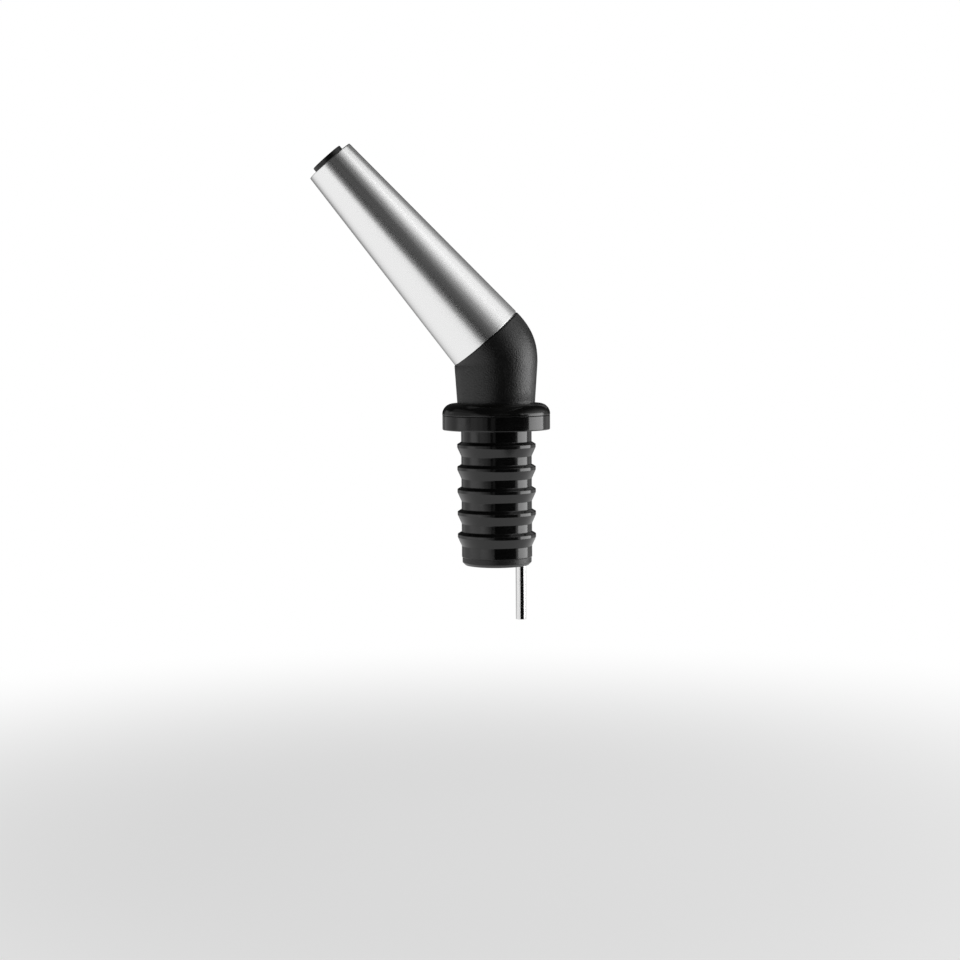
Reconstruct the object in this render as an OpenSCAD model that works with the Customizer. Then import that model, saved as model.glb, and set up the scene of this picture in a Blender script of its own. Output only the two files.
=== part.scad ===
// Pourer for a wine bottle that draws air into the wine as it flows.
// A soft finned plug holds it in the bottle's neck, a bent moulding turns the flow
// and a tapered steel sleeve carries the pouring tube, whose lip stands out of it.
// Millimetres. The origin is the centre of the face that rests on the bottle's lip,
// +Z runs up out of the bottle and the spout leans towards -X.

/* [Flange on the bottle's lip] */
// Height of the soft flange
flange_h = 3.65; // [2.6:0.05:4]
// How far the flange's edge stays inside the collar's
flange_inset = 0.03; // [0:0.01:0.3]
// Rounding of the flange's lower edge
flange_round = 0.3; // [0.1:0.05:0.6]

/* [Neck plug] */
// Length of the soft plug below the bottle's lip
plug_len = 32; // [28:1:40]
// Thickness of the soft wall between the fins
plug_wall = 0.8; // [0.5:0.05:1]
// Radius of the fins, which close in on the neck's bore
fin_r = 9.85; // [9.5:0.05:10.5]
// Number of fins
fin_count = 5; // [3:1:6]
// Height of the flat land at a fin's edge
fin_land = 0.8; // [0.4:0.1:1.2]
// Height of the sloping lead-in under each land
fin_lead = 2.2; // [1.4:0.1:2.4]
// Distance from the bottle's lip to the first fin
fin_first = 3; // [2:0.5:4]

/* [Stopper core] */
// Radius of the rigid core inside the plug
core_r = 8; // [7.8:0.05:8.3]
// Height of the core's rim below the plug
core_tail = 2; // [1.5:0.1:4]
// How far the rim stands out beyond the core, to hold the plug on
core_rim = 0.7; // [0.3:0.05:0.9]
// Width of the soft wall that wraps the core's flange
flange_wall = 1.9; // [1.5:0.1:2.4]
// Thickness of the core's flange
core_flange_h = 1.9; // [1.4:0.1:2.2]
// Radius of the boss that plugs into the elbow
boss_r = 8.6; // [8.4:0.05:8.8]
// Height of the boss above the flange
boss_h = 7.35; // [6.5:0.05:9]

/* [Wine and air channels] */
// Radius of the wine channel
wine_r = 3.4; // [3:0.1:3.6]
// Radius of the air channel
air_r = 1; // [0.7:0.05:1.05]
// Distance from the middle of the wine channel to the middle of the air channel
air_offset = 6; // [5.9:0.05:6.1]
// Depth of the countersink where the wine enters
inlet_depth = 1.5; // [0.5:0.1:1.8]

/* [Air tube] */
// Outer radius of the air tube
air_tube_r = 1.3; // [1.15:0.05:1.4]
// Wall of the air tube
air_tube_wall = 0.3; // [0.2:0.05:0.4]
// How far the air tube hangs below the core
air_tube_drop = 14; // [6:1:30]
// How far the air tube is pushed into the core
air_tube_grip = 8; // [5:1:15]

/* [Collar] */
// Width of the glossy collar, from its bore to its side
collar_wall = 3.65; // [3.6:0.05:4.5]
// Radius of the collar's rounded shoulder
collar_round = 2.7; // [2.2:0.1:3]
// Height of the straight side below the shoulder
collar_side = 0.1; // [0.05:0.05:1.2]
// Rounding of the collar's lower edge
collar_edge = 0.1; // [0.05:0.05:0.4]
// Rounding of the crown's inner edge
crown_round = 0.5; // [0.3:0.05:0.65]
// Shadow line between the flange and the collar
collar_line = 0.06; // [0.05:0.01:0.2]

/* [Elbow] */
// Radius of the elbow where its bend begins
elbow_r = 10.36; // [10.2:0.02:10.8]
// Taper of the elbow below its bend, in degrees to each side
elbow_taper = 3.9; // [1:0.1:4.5]
// Height at which the bend begins
bend_z = 15.9; // [14.5:0.1:20]
// Angle that the elbow turns the spout through
bend_angle = 41.1; // [25:0.1:55]
// Inner radius of the bend, at its sharp corner
corner_r = 0.2; // [0.1:0.05:1]
// How much the back of the bend swells beyond a smooth run
bend_swell = 0.18; // [0:0.02:0.4]
// Length of the spigot that enters the sleeve
spigot_len = 9; // [7:0.5:12]

/* [Steel sleeve] */
// Length of the sleeve
sleeve_len = 58.1; // [45:0.1:75]
// Radius of the sleeve at the elbow
sleeve_r = 10.17; // [9.9:0.01:10.3]
// Radius of the sleeve at its mouth
mouth_r = 6.47; // [6.2:0.01:7.5]
// Wall of the sleeve
sleeve_wall = 0.6; // [0.4:0.05:0.7]
// Rounding of the mouth's outer edge
mouth_round = 0.2; // [0.1:0.05:0.5]
// Thickness of the rim turned in at the mouth
mouth_rim = 0.9; // [0.7:0.1:1.5]
// Air gap between the rim and the pouring tube
mouth_gap = 1.1; // [0.6:0.05:1.3]
// Shadow gap between the elbow and the sleeve
seam_gap = 0.06; // [0.05:0.01:0.3]

/* [Pouring tube] */
// Outer radius of the pouring tube
tube_r = 4.3; // [4.2:0.05:4.4]
// Radius of the tube's root, in the elbow's socket
tube_root_r = 4.53; // [4.48:0.01:4.57]
// How far the tube's lip stands out of the sleeve
lip_out = 1.25; // [0.6:0.05:4]
// Rounding of the lip's outer edge
lip_round = 0.3; // [0.1:0.05:0.4]
// Width of the sloping drip edge inside the lip
lip_bevel = 0.45; // [0.1:0.05:0.5]
// Length of the ribs that centre the tube in the sleeve
rib_len = 5.5; // [3:0.5:10]
// Thickness of the ribs
rib_t = 0.8; // [0.6:0.1:1.4]
// Number of centring ribs
rib_count = 3; // [3:1:5]

/* [Air nozzle] */
// Length of the nozzle, whose throat draws the air in
nozzle_len = 20; // [16:0.5:26]
// Radius of the nozzle's throat
throat_r = 1.7; // [1.2:0.1:2.2]
// Length of the throat
throat_len = 3; // [2:0.5:5]
// Wall of the pouring tube around the nozzle
nozzle_seat = 0.5; // [0.4:0.05:0.6]
// Radius of the air holes through the tube
tube_hole_r = 0.6; // [0.3:0.05:0.7]
// Radius of the air holes into the throat
throat_hole_r = 0.35; // [0.2:0.05:0.5]
// Number of air holes in each ring
hole_count = 6; // [3:1:8]

/* [Seals] */
// Thickness of the ring that seals the sleeve
sleeve_ring_d = 1.5; // [1.1:0.1:1.6]
// Thickness of the ring that seals the core's boss
core_ring_d = 1; // [0.7:0.1:1.1]
// Thickness of the ring under the tube's root
tube_ring_d = 1; // [0.6:0.05:1]

/* [Clearances] */
// Gap between pieces that slide together
fit = 0.05; // [0.03:0.01:0.08]
// Gap between faces that seat on each other
seat = 0.02; // [0.01:0.01:0.05]
// Gap between the collar's bore and the elbow's widest place inside it
collar_gap = 0.14; // [0.08:0.02:0.3]

/* [Hidden] */
$fn = 96;
// Cuts run past the faces that they open
past = 1;
// Sides of the swept bend, and its rings
bend_sides = 64;
bend_steps = 18;

// Heights of the stopper, from the bottle's lip upwards
core_bottom = -plug_len - core_tail;
flange_under = flange_h - core_flange_h;
boss_top = flange_h + boss_h;
core_ring_z = flange_h + boss_h / 2;
core_ring_mid_r = boss_r + fit - core_ring_d / 2 - seat;
fin_pitch = (plug_len - fin_first - fin_land) / fin_count;
fin_top = 0.6;
plug_r = core_r + fit + plug_wall;

// Collar: its bore follows the elbow, and its side stands out from there
collar_base = flange_h + collar_line;
collar_edge_z = collar_base + collar_edge;
collar_shoulder_z = collar_edge_z + collar_side;
collar_top = collar_shoulder_z + collar_round;
collar_bore_r = elbow_radius(collar_top) + collar_gap;
collar_r = collar_bore_r + collar_wall;

// The flange sits flush under the collar, and wraps the core's own flange
flange_r = collar_r - flange_inset;
core_flange_r = flange_r - flange_wall;

// Elbow: the centre line bends about a pivot just outside its inner corner
elbow_base = flange_h + seat;
bend_r = elbow_r + corner_r;
socket_top = boss_top + fit;
core_step = 0.05;
function elbow_radius(z) = elbow_r - (bend_z - z) * tan(elbow_taper);

// Sleeve: a cone along the spout's axis, with s counted from the seam
sleeve_taper = (sleeve_r - mouth_r) / sleeve_len;
function sleeve_outer(s) = sleeve_r - s * sleeve_taper;
function sleeve_inner(s) = sleeve_outer(s) - sleeve_wall;
mouth_hole_r = tube_r + mouth_gap;
rib_end = sleeve_len - mouth_rim - fit;
rib_start = rib_end - rib_len;

// Spigot and its ring
spigot_root = -0.6;
sleeve_ring_s = spigot_len * 0.55;
sleeve_ring_mid_r = sleeve_inner(sleeve_ring_s) - sleeve_ring_d / 2 - seat;
ring_groove_side = 0.1;

// Tube and nozzle along the spout's axis
tube_socket_r = tube_root_r + fit;
tube_socket_floor = 0.8;
tube_start = tube_socket_floor + tube_ring_d + 2 * seat;
tube_end = sleeve_len + lip_out;
tube_stop_h = 1;
tube_stop_r = air_offset - air_r;
tube_stop_s = spigot_len + seat;
tube_seal_mid_r = tube_socket_r - tube_ring_d / 2 - seat;
nozzle_r = tube_r - nozzle_seat - fit;
nozzle_start = tube_start + seat;
nozzle_end = nozzle_start + nozzle_len;
throat_s = tube_stop_s + tube_stop_h + tube_hole_r + throat_len / 2;
gallery_h = 2 * tube_hole_r + 0.3;
gallery_depth = 0.7;

// Places children at the seam's centre with +Z along the spout
module in_spout() {
    translate([-bend_r, 0, bend_z])
        rotate([0, -bend_angle, 0])
            translate([bend_r, 0, 0])
                children();
}

// A round channel along the elbow's centre line, beside it by an offset.
// Its straight ends are a little wider than its bend, as the moulding's cores leave it.
module bent_channel(offset_x, r, from_z, to_s) {
    translate([offset_x, 0, from_z])
        cylinder(r = r + core_step, h = bend_z + core_step - from_z);
    translate([-bend_r, 0, bend_z])
        rotate([90, 0, 0])
            rotate_extrude(angle = bend_angle)
                translate([bend_r + offset_x, 0])
                    circle(r = r);
    in_spout()
        translate([offset_x, 0, -core_step])
            cylinder(r = r + core_step, h = to_s + core_step);
}

module ring(mid_r, d) {
    rotate_extrude()
        translate([mid_r, 0])
            circle(d = d);
}

// How far the back of the bend stands from the centre line, at a share t of the bend.
// It leaves the elbow's taper and meets the sleeve's taper without a kink.
function back_radius(t) =
    let (
        turn = bend_angle * PI / 180,
        rise = turn * (bend_r + elbow_r) * tan(elbow_taper),
        fall = turn * (bend_r + sleeve_r) * sleeve_taper
    )
    (2 * pow(t, 3) - 3 * pow(t, 2) + 1) * elbow_r
    + (pow(t, 3) - 2 * pow(t, 2) + t) * rise
    + (3 * pow(t, 2) - 2 * pow(t, 3)) * sleeve_r
    - (pow(t, 3) - pow(t, 2)) * fall
    + bend_swell * pow(sin(180 * t), 2);

// One ring of the bend: its inner edge stays by the pivot while its back swells
function bend_ring(t) =
    let (
        turn = bend_angle * t,
        inner = bend_r - (elbow_r + (sleeve_r - elbow_r) * t),
        outer = bend_r + back_radius(t),
        mid = (inner + outer) / 2,
        r = (outer - inner) / 2
    )
    [for (i = [0 : bend_sides - 1])
        let (a = 360 * (i + 0.5) / bend_sides, reach = mid + r * cos(a))
        [reach * cos(turn) - bend_r, r * sin(a), bend_z + reach * sin(turn)]];

function root_ring() =
    [for (i = [0 : bend_sides - 1])
        let (a = 360 * (i + 0.5) / bend_sides, r = elbow_radius(elbow_base))
        [r * cos(a), r * sin(a), elbow_base]];

// The elbow's outside: a tapered root swept through the bend
module elbow_skin() {
    rings = concat([root_ring()], [for (k = [0 : bend_steps]) bend_ring(k / bend_steps)]);
    last = len(rings) - 1;
    points = [for (one = rings) each one];
    sides = [for (k = [0 : last - 1], i = [0 : bend_sides - 1])
        let (
            a = k * bend_sides + i,
            b = k * bend_sides + (i + 1) % bend_sides
        )
        each [[a, a + bend_sides, b], [b, a + bend_sides, b + bend_sides]]];
    bottom = [for (i = [0 : bend_sides - 1]) i];
    top = [for (i = [bend_sides - 1 : -1 : 0]) last * bend_sides + i];
    polyhedron(points = points, faces = concat([bottom, top], sides));
}

module spout_sleeve() {
    edge = mouth_r + sleeve_taper * mouth_round;
    color([0.8, 0.8, 0.8])
        in_spout()
            rotate_extrude() {
                polygon([
                    [sleeve_inner(seam_gap), seam_gap],
                    [sleeve_outer(seam_gap), seam_gap],
                    [edge, sleeve_len - mouth_round],
                    [edge - mouth_round, sleeve_len],
                    [mouth_hole_r, sleeve_len],
                    [mouth_hole_r, sleeve_len - mouth_rim],
                    [sleeve_inner(sleeve_len - mouth_rim), sleeve_len - mouth_rim]
                ]);
                translate([edge - mouth_round, sleeve_len - mouth_round])
                    circle(r = mouth_round);
            }
}

module centring_rib() {
    rotate([90, 0, 0])
        translate([0, 0, -rib_t / 2])
            linear_extrude(rib_t)
                polygon([
                    [tube_r - nozzle_seat / 2, rib_start],
                    [sleeve_inner(rib_start) - 2 * fit, rib_start + rib_t],
                    [sleeve_inner(rib_end) - 2 * fit, rib_end],
                    [tube_r - nozzle_seat / 2, rib_end]
                ]);
}

module pour_tube() {
    color([0.12, 0.12, 0.12])
        in_spout()
            difference() {
                union() {
                    rotate_extrude() {
                        polygon([
                            [wine_r, tube_start],
                            [tube_root_r, tube_start],
                            [tube_root_r, tube_stop_s],
                            [tube_stop_r, tube_stop_s],
                            [tube_stop_r, tube_stop_s + tube_stop_h],
                            [tube_r, tube_stop_s + tube_stop_h],
                            [tube_r, tube_end - lip_round],
                            [tube_r - lip_round, tube_end],
                            [wine_r + lip_bevel, tube_end],
                            [wine_r, tube_end - 2 * lip_bevel]
                        ]);
                        translate([tube_r - lip_round, tube_end - lip_round])
                            circle(r = lip_round);
                    }
                    for (i = [0 : rib_count - 1])
                        rotate([0, 0, 90 + 360 * i / rib_count])
                            centring_rib();
                }
                translate([0, 0, tube_start - past])
                    cylinder(r = nozzle_r + fit, h = nozzle_end + seat - tube_start + past);
                for (i = [0 : hole_count - 1])
                    translate([0, 0, throat_s])
                        rotate([0, 90, 360 * i / hole_count])
                            cylinder(r = tube_hole_r, h = tube_r + past);
            }
}

module aerator_nozzle() {
    color([0.3, 0.3, 0.32])
        in_spout()
            difference() {
                rotate_extrude()
                    polygon([
                        [wine_r, nozzle_start],
                        [nozzle_r, nozzle_start],
                        [nozzle_r, throat_s - gallery_h / 2],
                        [nozzle_r - gallery_depth, throat_s - gallery_h / 2],
                        [nozzle_r - gallery_depth, throat_s + gallery_h / 2],
                        [nozzle_r, throat_s + gallery_h / 2],
                        [nozzle_r, nozzle_end],
                        [wine_r, nozzle_end],
                        [throat_r, throat_s + throat_len / 2],
                        [throat_r, throat_s - throat_len / 2]
                    ]);
                for (i = [0 : hole_count - 1])
                    translate([0, 0, throat_s])
                        rotate([0, 90, 360 * (i + 0.5) / hole_count])
                            cylinder(r = throat_hole_r, h = nozzle_r);
            }
}

module tube_seal() {
    color([0.2, 0.2, 0.2])
        in_spout()
            translate([0, 0, tube_socket_floor + seat + tube_ring_d / 2])
                ring(tube_seal_mid_r, tube_ring_d);
}

module sleeve_o_ring() {
    color([0.2, 0.2, 0.2])
        in_spout()
            translate([0, 0, sleeve_ring_s])
                ring(sleeve_ring_mid_r, sleeve_ring_d);
}

module spigot() {
    groove_h = sleeve_ring_d + 2 * ring_groove_side;
    groove_r = sleeve_ring_mid_r - sleeve_ring_d / 2 - seat;
    rotate_extrude()
        polygon([
            [0, spigot_root],
            [sleeve_inner(spigot_root) - 2 * fit, spigot_root],
            [sleeve_inner(sleeve_ring_s - groove_h / 2) - 2 * fit, sleeve_ring_s - groove_h / 2],
            [groove_r, sleeve_ring_s - groove_h / 2],
            [groove_r, sleeve_ring_s + groove_h / 2],
            [sleeve_inner(sleeve_ring_s + groove_h / 2) - 2 * fit, sleeve_ring_s + groove_h / 2],
            [sleeve_inner(spigot_len) - 2 * fit, spigot_len],
            [0, spigot_len]
        ]);
}

module elbow() {
    color([0.2, 0.2, 0.2])
        difference() {
            union() {
                elbow_skin();
                in_spout()
                    spigot();
            }
            translate([0, 0, elbow_base - past])
                cylinder(r = boss_r + fit, h = socket_top - elbow_base + past);
            bent_channel(0, wine_r, socket_top - past, tube_socket_floor + past);
            bent_channel(air_offset, air_r, socket_top - past, spigot_len + past);
            in_spout()
                translate([0, 0, tube_socket_floor])
                    cylinder(r = tube_socket_r, h = spigot_len);
        }
}

module collar() {
    shoulder_mid_r = collar_r - collar_round;
    crown_mid_r = collar_bore_r + crown_round;
    color([0.08, 0.08, 0.08])
        rotate_extrude() {
            intersection() {
                translate([shoulder_mid_r, collar_shoulder_z])
                    circle(r = collar_round);
                translate([shoulder_mid_r, collar_shoulder_z])
                    square(collar_round);
            }
            translate([crown_mid_r, collar_shoulder_z])
                square([shoulder_mid_r - crown_mid_r, collar_round]);
            translate([crown_mid_r, collar_top - crown_round])
                circle(r = crown_round);
            translate([collar_bore_r, collar_base])
                square([crown_round, collar_top - crown_round - collar_base]);
            translate([collar_bore_r, collar_edge_z])
                square([collar_wall, collar_side]);
            translate([collar_bore_r, collar_base])
                square([collar_wall - collar_edge, collar_edge]);
            translate([collar_r - collar_edge, collar_edge_z])
                circle(r = collar_edge);
            translate([collar_bore_r, flange_h + seat])
                square([core_flange_r - collar_bore_r, collar_line]);
        }
}

module core_o_ring() {
    color([0.2, 0.2, 0.2])
        translate([0, 0, core_ring_z])
            ring(core_ring_mid_r, core_ring_d);
}

module stopper_core() {
    groove_h = core_ring_d + 2 * ring_groove_side;
    groove_r = core_ring_mid_r - core_ring_d / 2 - seat;
    rim_r = core_r + core_rim;
    color([0.15, 0.15, 0.15])
        difference() {
            rotate_extrude()
                polygon([
                    [wine_r + inlet_depth / 2, core_bottom],
                    [core_r, core_bottom],
                    [rim_r, core_bottom + core_rim],
                    [rim_r, -plug_len - seat],
                    [core_r, -plug_len - seat],
                    [core_r, flange_under],
                    [core_flange_r, flange_under],
                    [core_flange_r, flange_h],
                    [boss_r, flange_h],
                    [boss_r, core_ring_z - groove_h / 2],
                    [groove_r, core_ring_z - groove_h / 2],
                    [groove_r, core_ring_z + groove_h / 2],
                    [boss_r, core_ring_z + groove_h / 2],
                    [boss_r, boss_top],
                    [wine_r, boss_top],
                    [wine_r, core_bottom + inlet_depth]
                ]);
            translate([air_offset, 0, core_bottom - past])
                cylinder(r = air_r, h = boss_top - core_bottom + 2 * past);
            translate([air_offset, 0, core_bottom - past])
                cylinder(r = air_tube_r + seat, h = air_tube_grip + past);
        }
}

module neck_plug() {
    inner_r = core_r + fit;
    pocket_r = core_flange_r + fit;
    pocket_floor = flange_under - seat;
    color([0.17, 0.17, 0.17])
        rotate_extrude() {
            polygon([
                [inner_r, pocket_floor],
                [inner_r, 0],
                [flange_r - flange_round, 0],
                [flange_r, flange_round],
                [flange_r, flange_h],
                [pocket_r, flange_h],
                [pocket_r, pocket_floor]
            ]);
            translate([flange_r - flange_round, flange_round])
                circle(r = flange_round);
            polygon(concat(
                [[inner_r, 0], [inner_r, -plug_len], [plug_r, -plug_len]],
                [for (i = [fin_count - 1 : -1 : 0])
                    let (z = -fin_first - i * fin_pitch)
                    each [
                        [plug_r, z - fin_top - fin_land - fin_lead],
                        [fin_r, z - fin_top - fin_land],
                        [fin_r, z - fin_top],
                        [plug_r, z]
                    ]],
                [[plug_r, 0]]
            ));
        }
}

module air_tube() {
    bottom = core_bottom - air_tube_drop;
    color([0.75, 0.75, 0.75])
        translate([air_offset, 0, bottom])
            difference() {
                cylinder(r = air_tube_r, h = air_tube_drop + air_tube_grip - seat);
                translate([0, 0, -past])
                    cylinder(r = air_tube_r - air_tube_wall, h = air_tube_drop + air_tube_grip + 2 * past);
            }
}

spout_sleeve();
pour_tube();
aerator_nozzle();
tube_seal();
sleeve_o_ring();
elbow();
collar();
core_o_ring();
stopper_core();
neck_plug();
air_tube();
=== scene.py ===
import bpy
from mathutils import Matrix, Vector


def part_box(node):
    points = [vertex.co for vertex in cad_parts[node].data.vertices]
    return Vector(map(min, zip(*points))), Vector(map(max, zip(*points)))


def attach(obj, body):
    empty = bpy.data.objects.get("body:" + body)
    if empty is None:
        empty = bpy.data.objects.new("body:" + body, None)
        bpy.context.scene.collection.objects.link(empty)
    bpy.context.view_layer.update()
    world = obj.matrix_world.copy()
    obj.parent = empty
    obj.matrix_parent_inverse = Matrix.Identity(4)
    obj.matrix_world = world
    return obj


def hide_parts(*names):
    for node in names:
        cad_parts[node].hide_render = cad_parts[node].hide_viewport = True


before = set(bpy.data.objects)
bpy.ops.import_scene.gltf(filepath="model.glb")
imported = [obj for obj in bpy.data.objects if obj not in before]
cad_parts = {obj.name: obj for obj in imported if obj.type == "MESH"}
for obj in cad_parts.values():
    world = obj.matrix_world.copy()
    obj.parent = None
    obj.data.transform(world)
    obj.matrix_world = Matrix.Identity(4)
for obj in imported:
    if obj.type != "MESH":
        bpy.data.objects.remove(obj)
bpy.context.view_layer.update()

import logging
import math
from collections import Counter
from dataclasses import dataclass
from enum import Enum
from typing import Any, Callable, Mapping, Sequence, Union

import bmesh
import bpy
from mathutils import Matrix, Vector

LOG = logging.getLogger("pourer")
# a millimetre in Blender's metres
MM = 0.001
# steps of a full turn, and the distance in metres within which two vertices are one
TURN_STEPS = 192
CLOSE = 2e-6
# how far a cutting shape reaches past what it cuts, in mm
OVERCUT = 1.0

Piece = bpy.types.Object
Material = bpy.types.Material
Number = Union[int, float]
Operand = Union["Val", Number]
Point = tuple[float, float]
Colour = tuple[float, float, float]


class Slot(Enum):
    """The record's material slots."""

    SLEEVE = "sleeve_steel"
    ELBOW = "elbow_plastic"
    COLLAR = "collar_plastic"
    PLUG = "plug_silicone"
    CORE = "core_plastic"
    TUBE = "tube_plastic"
    NOZZLE = "nozzle_plastic"
    AIR_TUBE = "air_tube_steel"
    SEAL = "seal_rubber"


class Joining(Enum):
    """What one closed shape does to another."""

    ADD = "UNION"
    CUT = "DIFFERENCE"


class Pick(Enum):
    """What is selected in edit mode."""

    VERTICES = "VERT"
    EDGES = "EDGE"
    FACES = "FACE"


class Run(Enum):
    """The two straight runs that a turned piece can stand on."""

    STOPPER = "stopper"
    SPOUT = "spout"


Finishes = Mapping[Slot, Material]


class Val:
    """A shader socket that takes part in Python arithmetic through Math nodes."""

    def __init__(self, graph: "Graph", socket: bpy.types.NodeSocket) -> None:
        """Wraps one of a graph's output sockets."""
        self.graph = graph
        self.socket = socket

    def _math(self, operation: str, first: Operand, second: Operand) -> "Val":
        """One Math node.

        Args:
            operation: the node's operation.
            first: its first value.
            second: its second value.

        Returns:
            The node's result.
        """
        made = self.graph.node("ShaderNodeMath", {"operation": operation}, {0: first, 1: second})
        return self.graph.value(made)

    def __add__(self, other: Operand) -> "Val":
        """Sum."""
        return self._math("ADD", self, other)

    def __radd__(self, other: Number) -> "Val":
        """Sum, reflected."""
        return self._math("ADD", other, self)

    def __sub__(self, other: Operand) -> "Val":
        """Difference."""
        return self._math("SUBTRACT", self, other)

    def __rsub__(self, other: Number) -> "Val":
        """Difference, reflected."""
        return self._math("SUBTRACT", other, self)

    def __mul__(self, other: Operand) -> "Val":
        """Product."""
        return self._math("MULTIPLY", self, other)

    def __rmul__(self, other: Number) -> "Val":
        """Product, reflected."""
        return self._math("MULTIPLY", other, self)

    def at_most(self, other: Operand) -> "Val":
        """The smaller of two values."""
        return self._math("MINIMUM", self, other)

    def at_least(self, other: Operand) -> "Val":
        """The larger of two values."""
        return self._math("MAXIMUM", self, other)

    def clipped(self) -> "Val":
        """The value, kept from 0 to 1."""
        return self.at_least(0.0).at_most(1.0)

    def step(self, low: float, high: float) -> "Val":
        """A smooth step from 0 at low to 1 at high.

        Args:
            low: the value that gives 0.
            high: the value that gives 1.

        Returns:
            The stepped value.
        """
        made = self.graph.node(
            "ShaderNodeMapRange",
            {"interpolation_type": "SMOOTHSTEP", "clamp": True},
            {"Value": self, "From Min": low, "From Max": high, "To Min": 0.0, "To Max": 1.0},
        )
        return self.graph.value(made)


class Graph:
    """The node tree of one material or world."""

    def __init__(self, owner: Union[Material, bpy.types.World]) -> None:
        """Empties the owner's node tree.

        Args:
            owner: the material or world that the nodes belong to.
        """
        self.owner = owner
        owner.use_nodes = True
        self.tree = owner.node_tree
        self.tree.nodes.clear()

    def node(
        self,
        kind: str,
        settings: Mapping[str, Any] | None = None,
        inputs: Mapping[str | int, Any] | None = None,
    ) -> bpy.types.Node:
        """Makes any node: its settings first, then its sockets.

        Args:
            kind: the node's type.
            settings: the node's own settings.
            inputs: the values or links of its input sockets.

        Returns:
            The node.
        """
        made = self.tree.nodes.new(kind)
        for key, value in (settings or {}).items():
            setattr(made, key, value)
        for key, value in (inputs or {}).items():
            if isinstance(value, Val):
                self.tree.links.new(value.socket, made.inputs[key])
            else:
                made.inputs[key].default_value = value
        return made

    def value(self, node: bpy.types.Node, output: int | str = 0) -> Val:
        """One of a node's outputs."""
        return Val(self, node.outputs[output])

    def object_place(self) -> Val:
        """Object coordinates: metres in the part's own frame."""
        return self.value(self.node("ShaderNodeTexCoord"), "Object")

    def turned_to(self, place: Val, origin: Vector, lean: float) -> Val:
        """Coordinates in a frame whose Z runs along a leaning axis.

        Args:
            place: object coordinates.
            origin: the frame's origin, in metres.
            lean: its turn about Y, in radians.

        Returns:
            The coordinates in that frame.
        """
        made = self.node(
            "ShaderNodeMapping",
            {"vector_type": "TEXTURE"},
            {"Vector": place, "Location": tuple(origin), "Rotation": (0.0, lean, 0.0)},
        )
        return self.value(made)

    def stretched(self, place: Val, counts: Sequence[float]) -> Val:
        """Coordinates multiplied by a count of features per metre for each axis."""
        made = self.node("ShaderNodeVectorMath", {"operation": "MULTIPLY"}, {0: place, 1: tuple(counts)})
        return self.value(made)

    def noise(self, place: Val, counts: Sequence[float], detail: float, rough: float) -> Val:
        """Noise from 0 to 1.

        Args:
            place: the coordinates.
            counts: how many of its features a metre holds along each axis.
            detail: how many finer octaves it has.
            rough: how strong the finer octaves are.

        Returns:
            The noise.
        """
        made = self.node(
            "ShaderNodeTexNoise",
            {"noise_dimensions": "3D"},
            {"Vector": self.stretched(place, counts), "Scale": 1.0, "Detail": detail, "Roughness": rough},
        )
        return self.value(made, "Fac")

    def mix(self, share: Val, first: Colour, second: Colour) -> Val:
        """The colour that holds this share of the second colour.

        Args:
            share: how much of the second colour it holds.
            first: the first colour.
            second: the second colour.

        Returns:
            The mixed colour.
        """
        # a Mix node's sockets 6 and 7 are its two colours, and its output 2 is the mixed one
        ends = {6: (*first, 1.0), 7: (*second, 1.0)}
        return self.value(self.node("ShaderNodeMix", {"data_type": "RGBA"}, {0: share, **ends}), 2)

    def bump(self, height: Val, depth: float) -> Val:
        """The normal that a height gives, at a depth in metres."""
        made = self.node("ShaderNodeBump", None, {"Height": height, "Distance": depth, "Strength": 1.0})
        return self.value(made)

    def shader(self, kind: str, inputs: Mapping[str, Any]) -> Val:
        """A shader of one kind with these sockets."""
        return self.value(self.node(kind, None, inputs))

    def either(self, share: Val, first: Val, second: Val) -> Val:
        """The shader that holds this share of the second shader."""
        return self.value(self.node("ShaderNodeMixShader", None, {0: share, 1: first, 2: second}))

    def end(self, shader: Val, output: str = "ShaderNodeOutputMaterial") -> Any:
        """Ends the tree in a shader and gives the material or world that owns it."""
        self.node(output, None, {"Surface": shader})
        return self.owner

    def finish(self, inputs: Mapping[str, Any]) -> Material:
        """Ends the material in one Principled shader with these sockets."""
        return self.end(self.shader("ShaderNodeBsdfPrincipled", inputs))


def grey(level: float) -> Colour:
    """A neutral colour of one level."""
    return (level, level, level)


@dataclass(frozen=True)
class Finish:
    """What the finishes share.

    Attributes:
        slot: the record's slot that takes the finish.
    """

    slot: Slot

    def start(self) -> tuple[Graph, Val]:
        """Starts the slot's material, with its object coordinates."""
        graph = Graph(bpy.data.materials.new(self.slot.value))
        return graph, graph.object_place()


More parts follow.
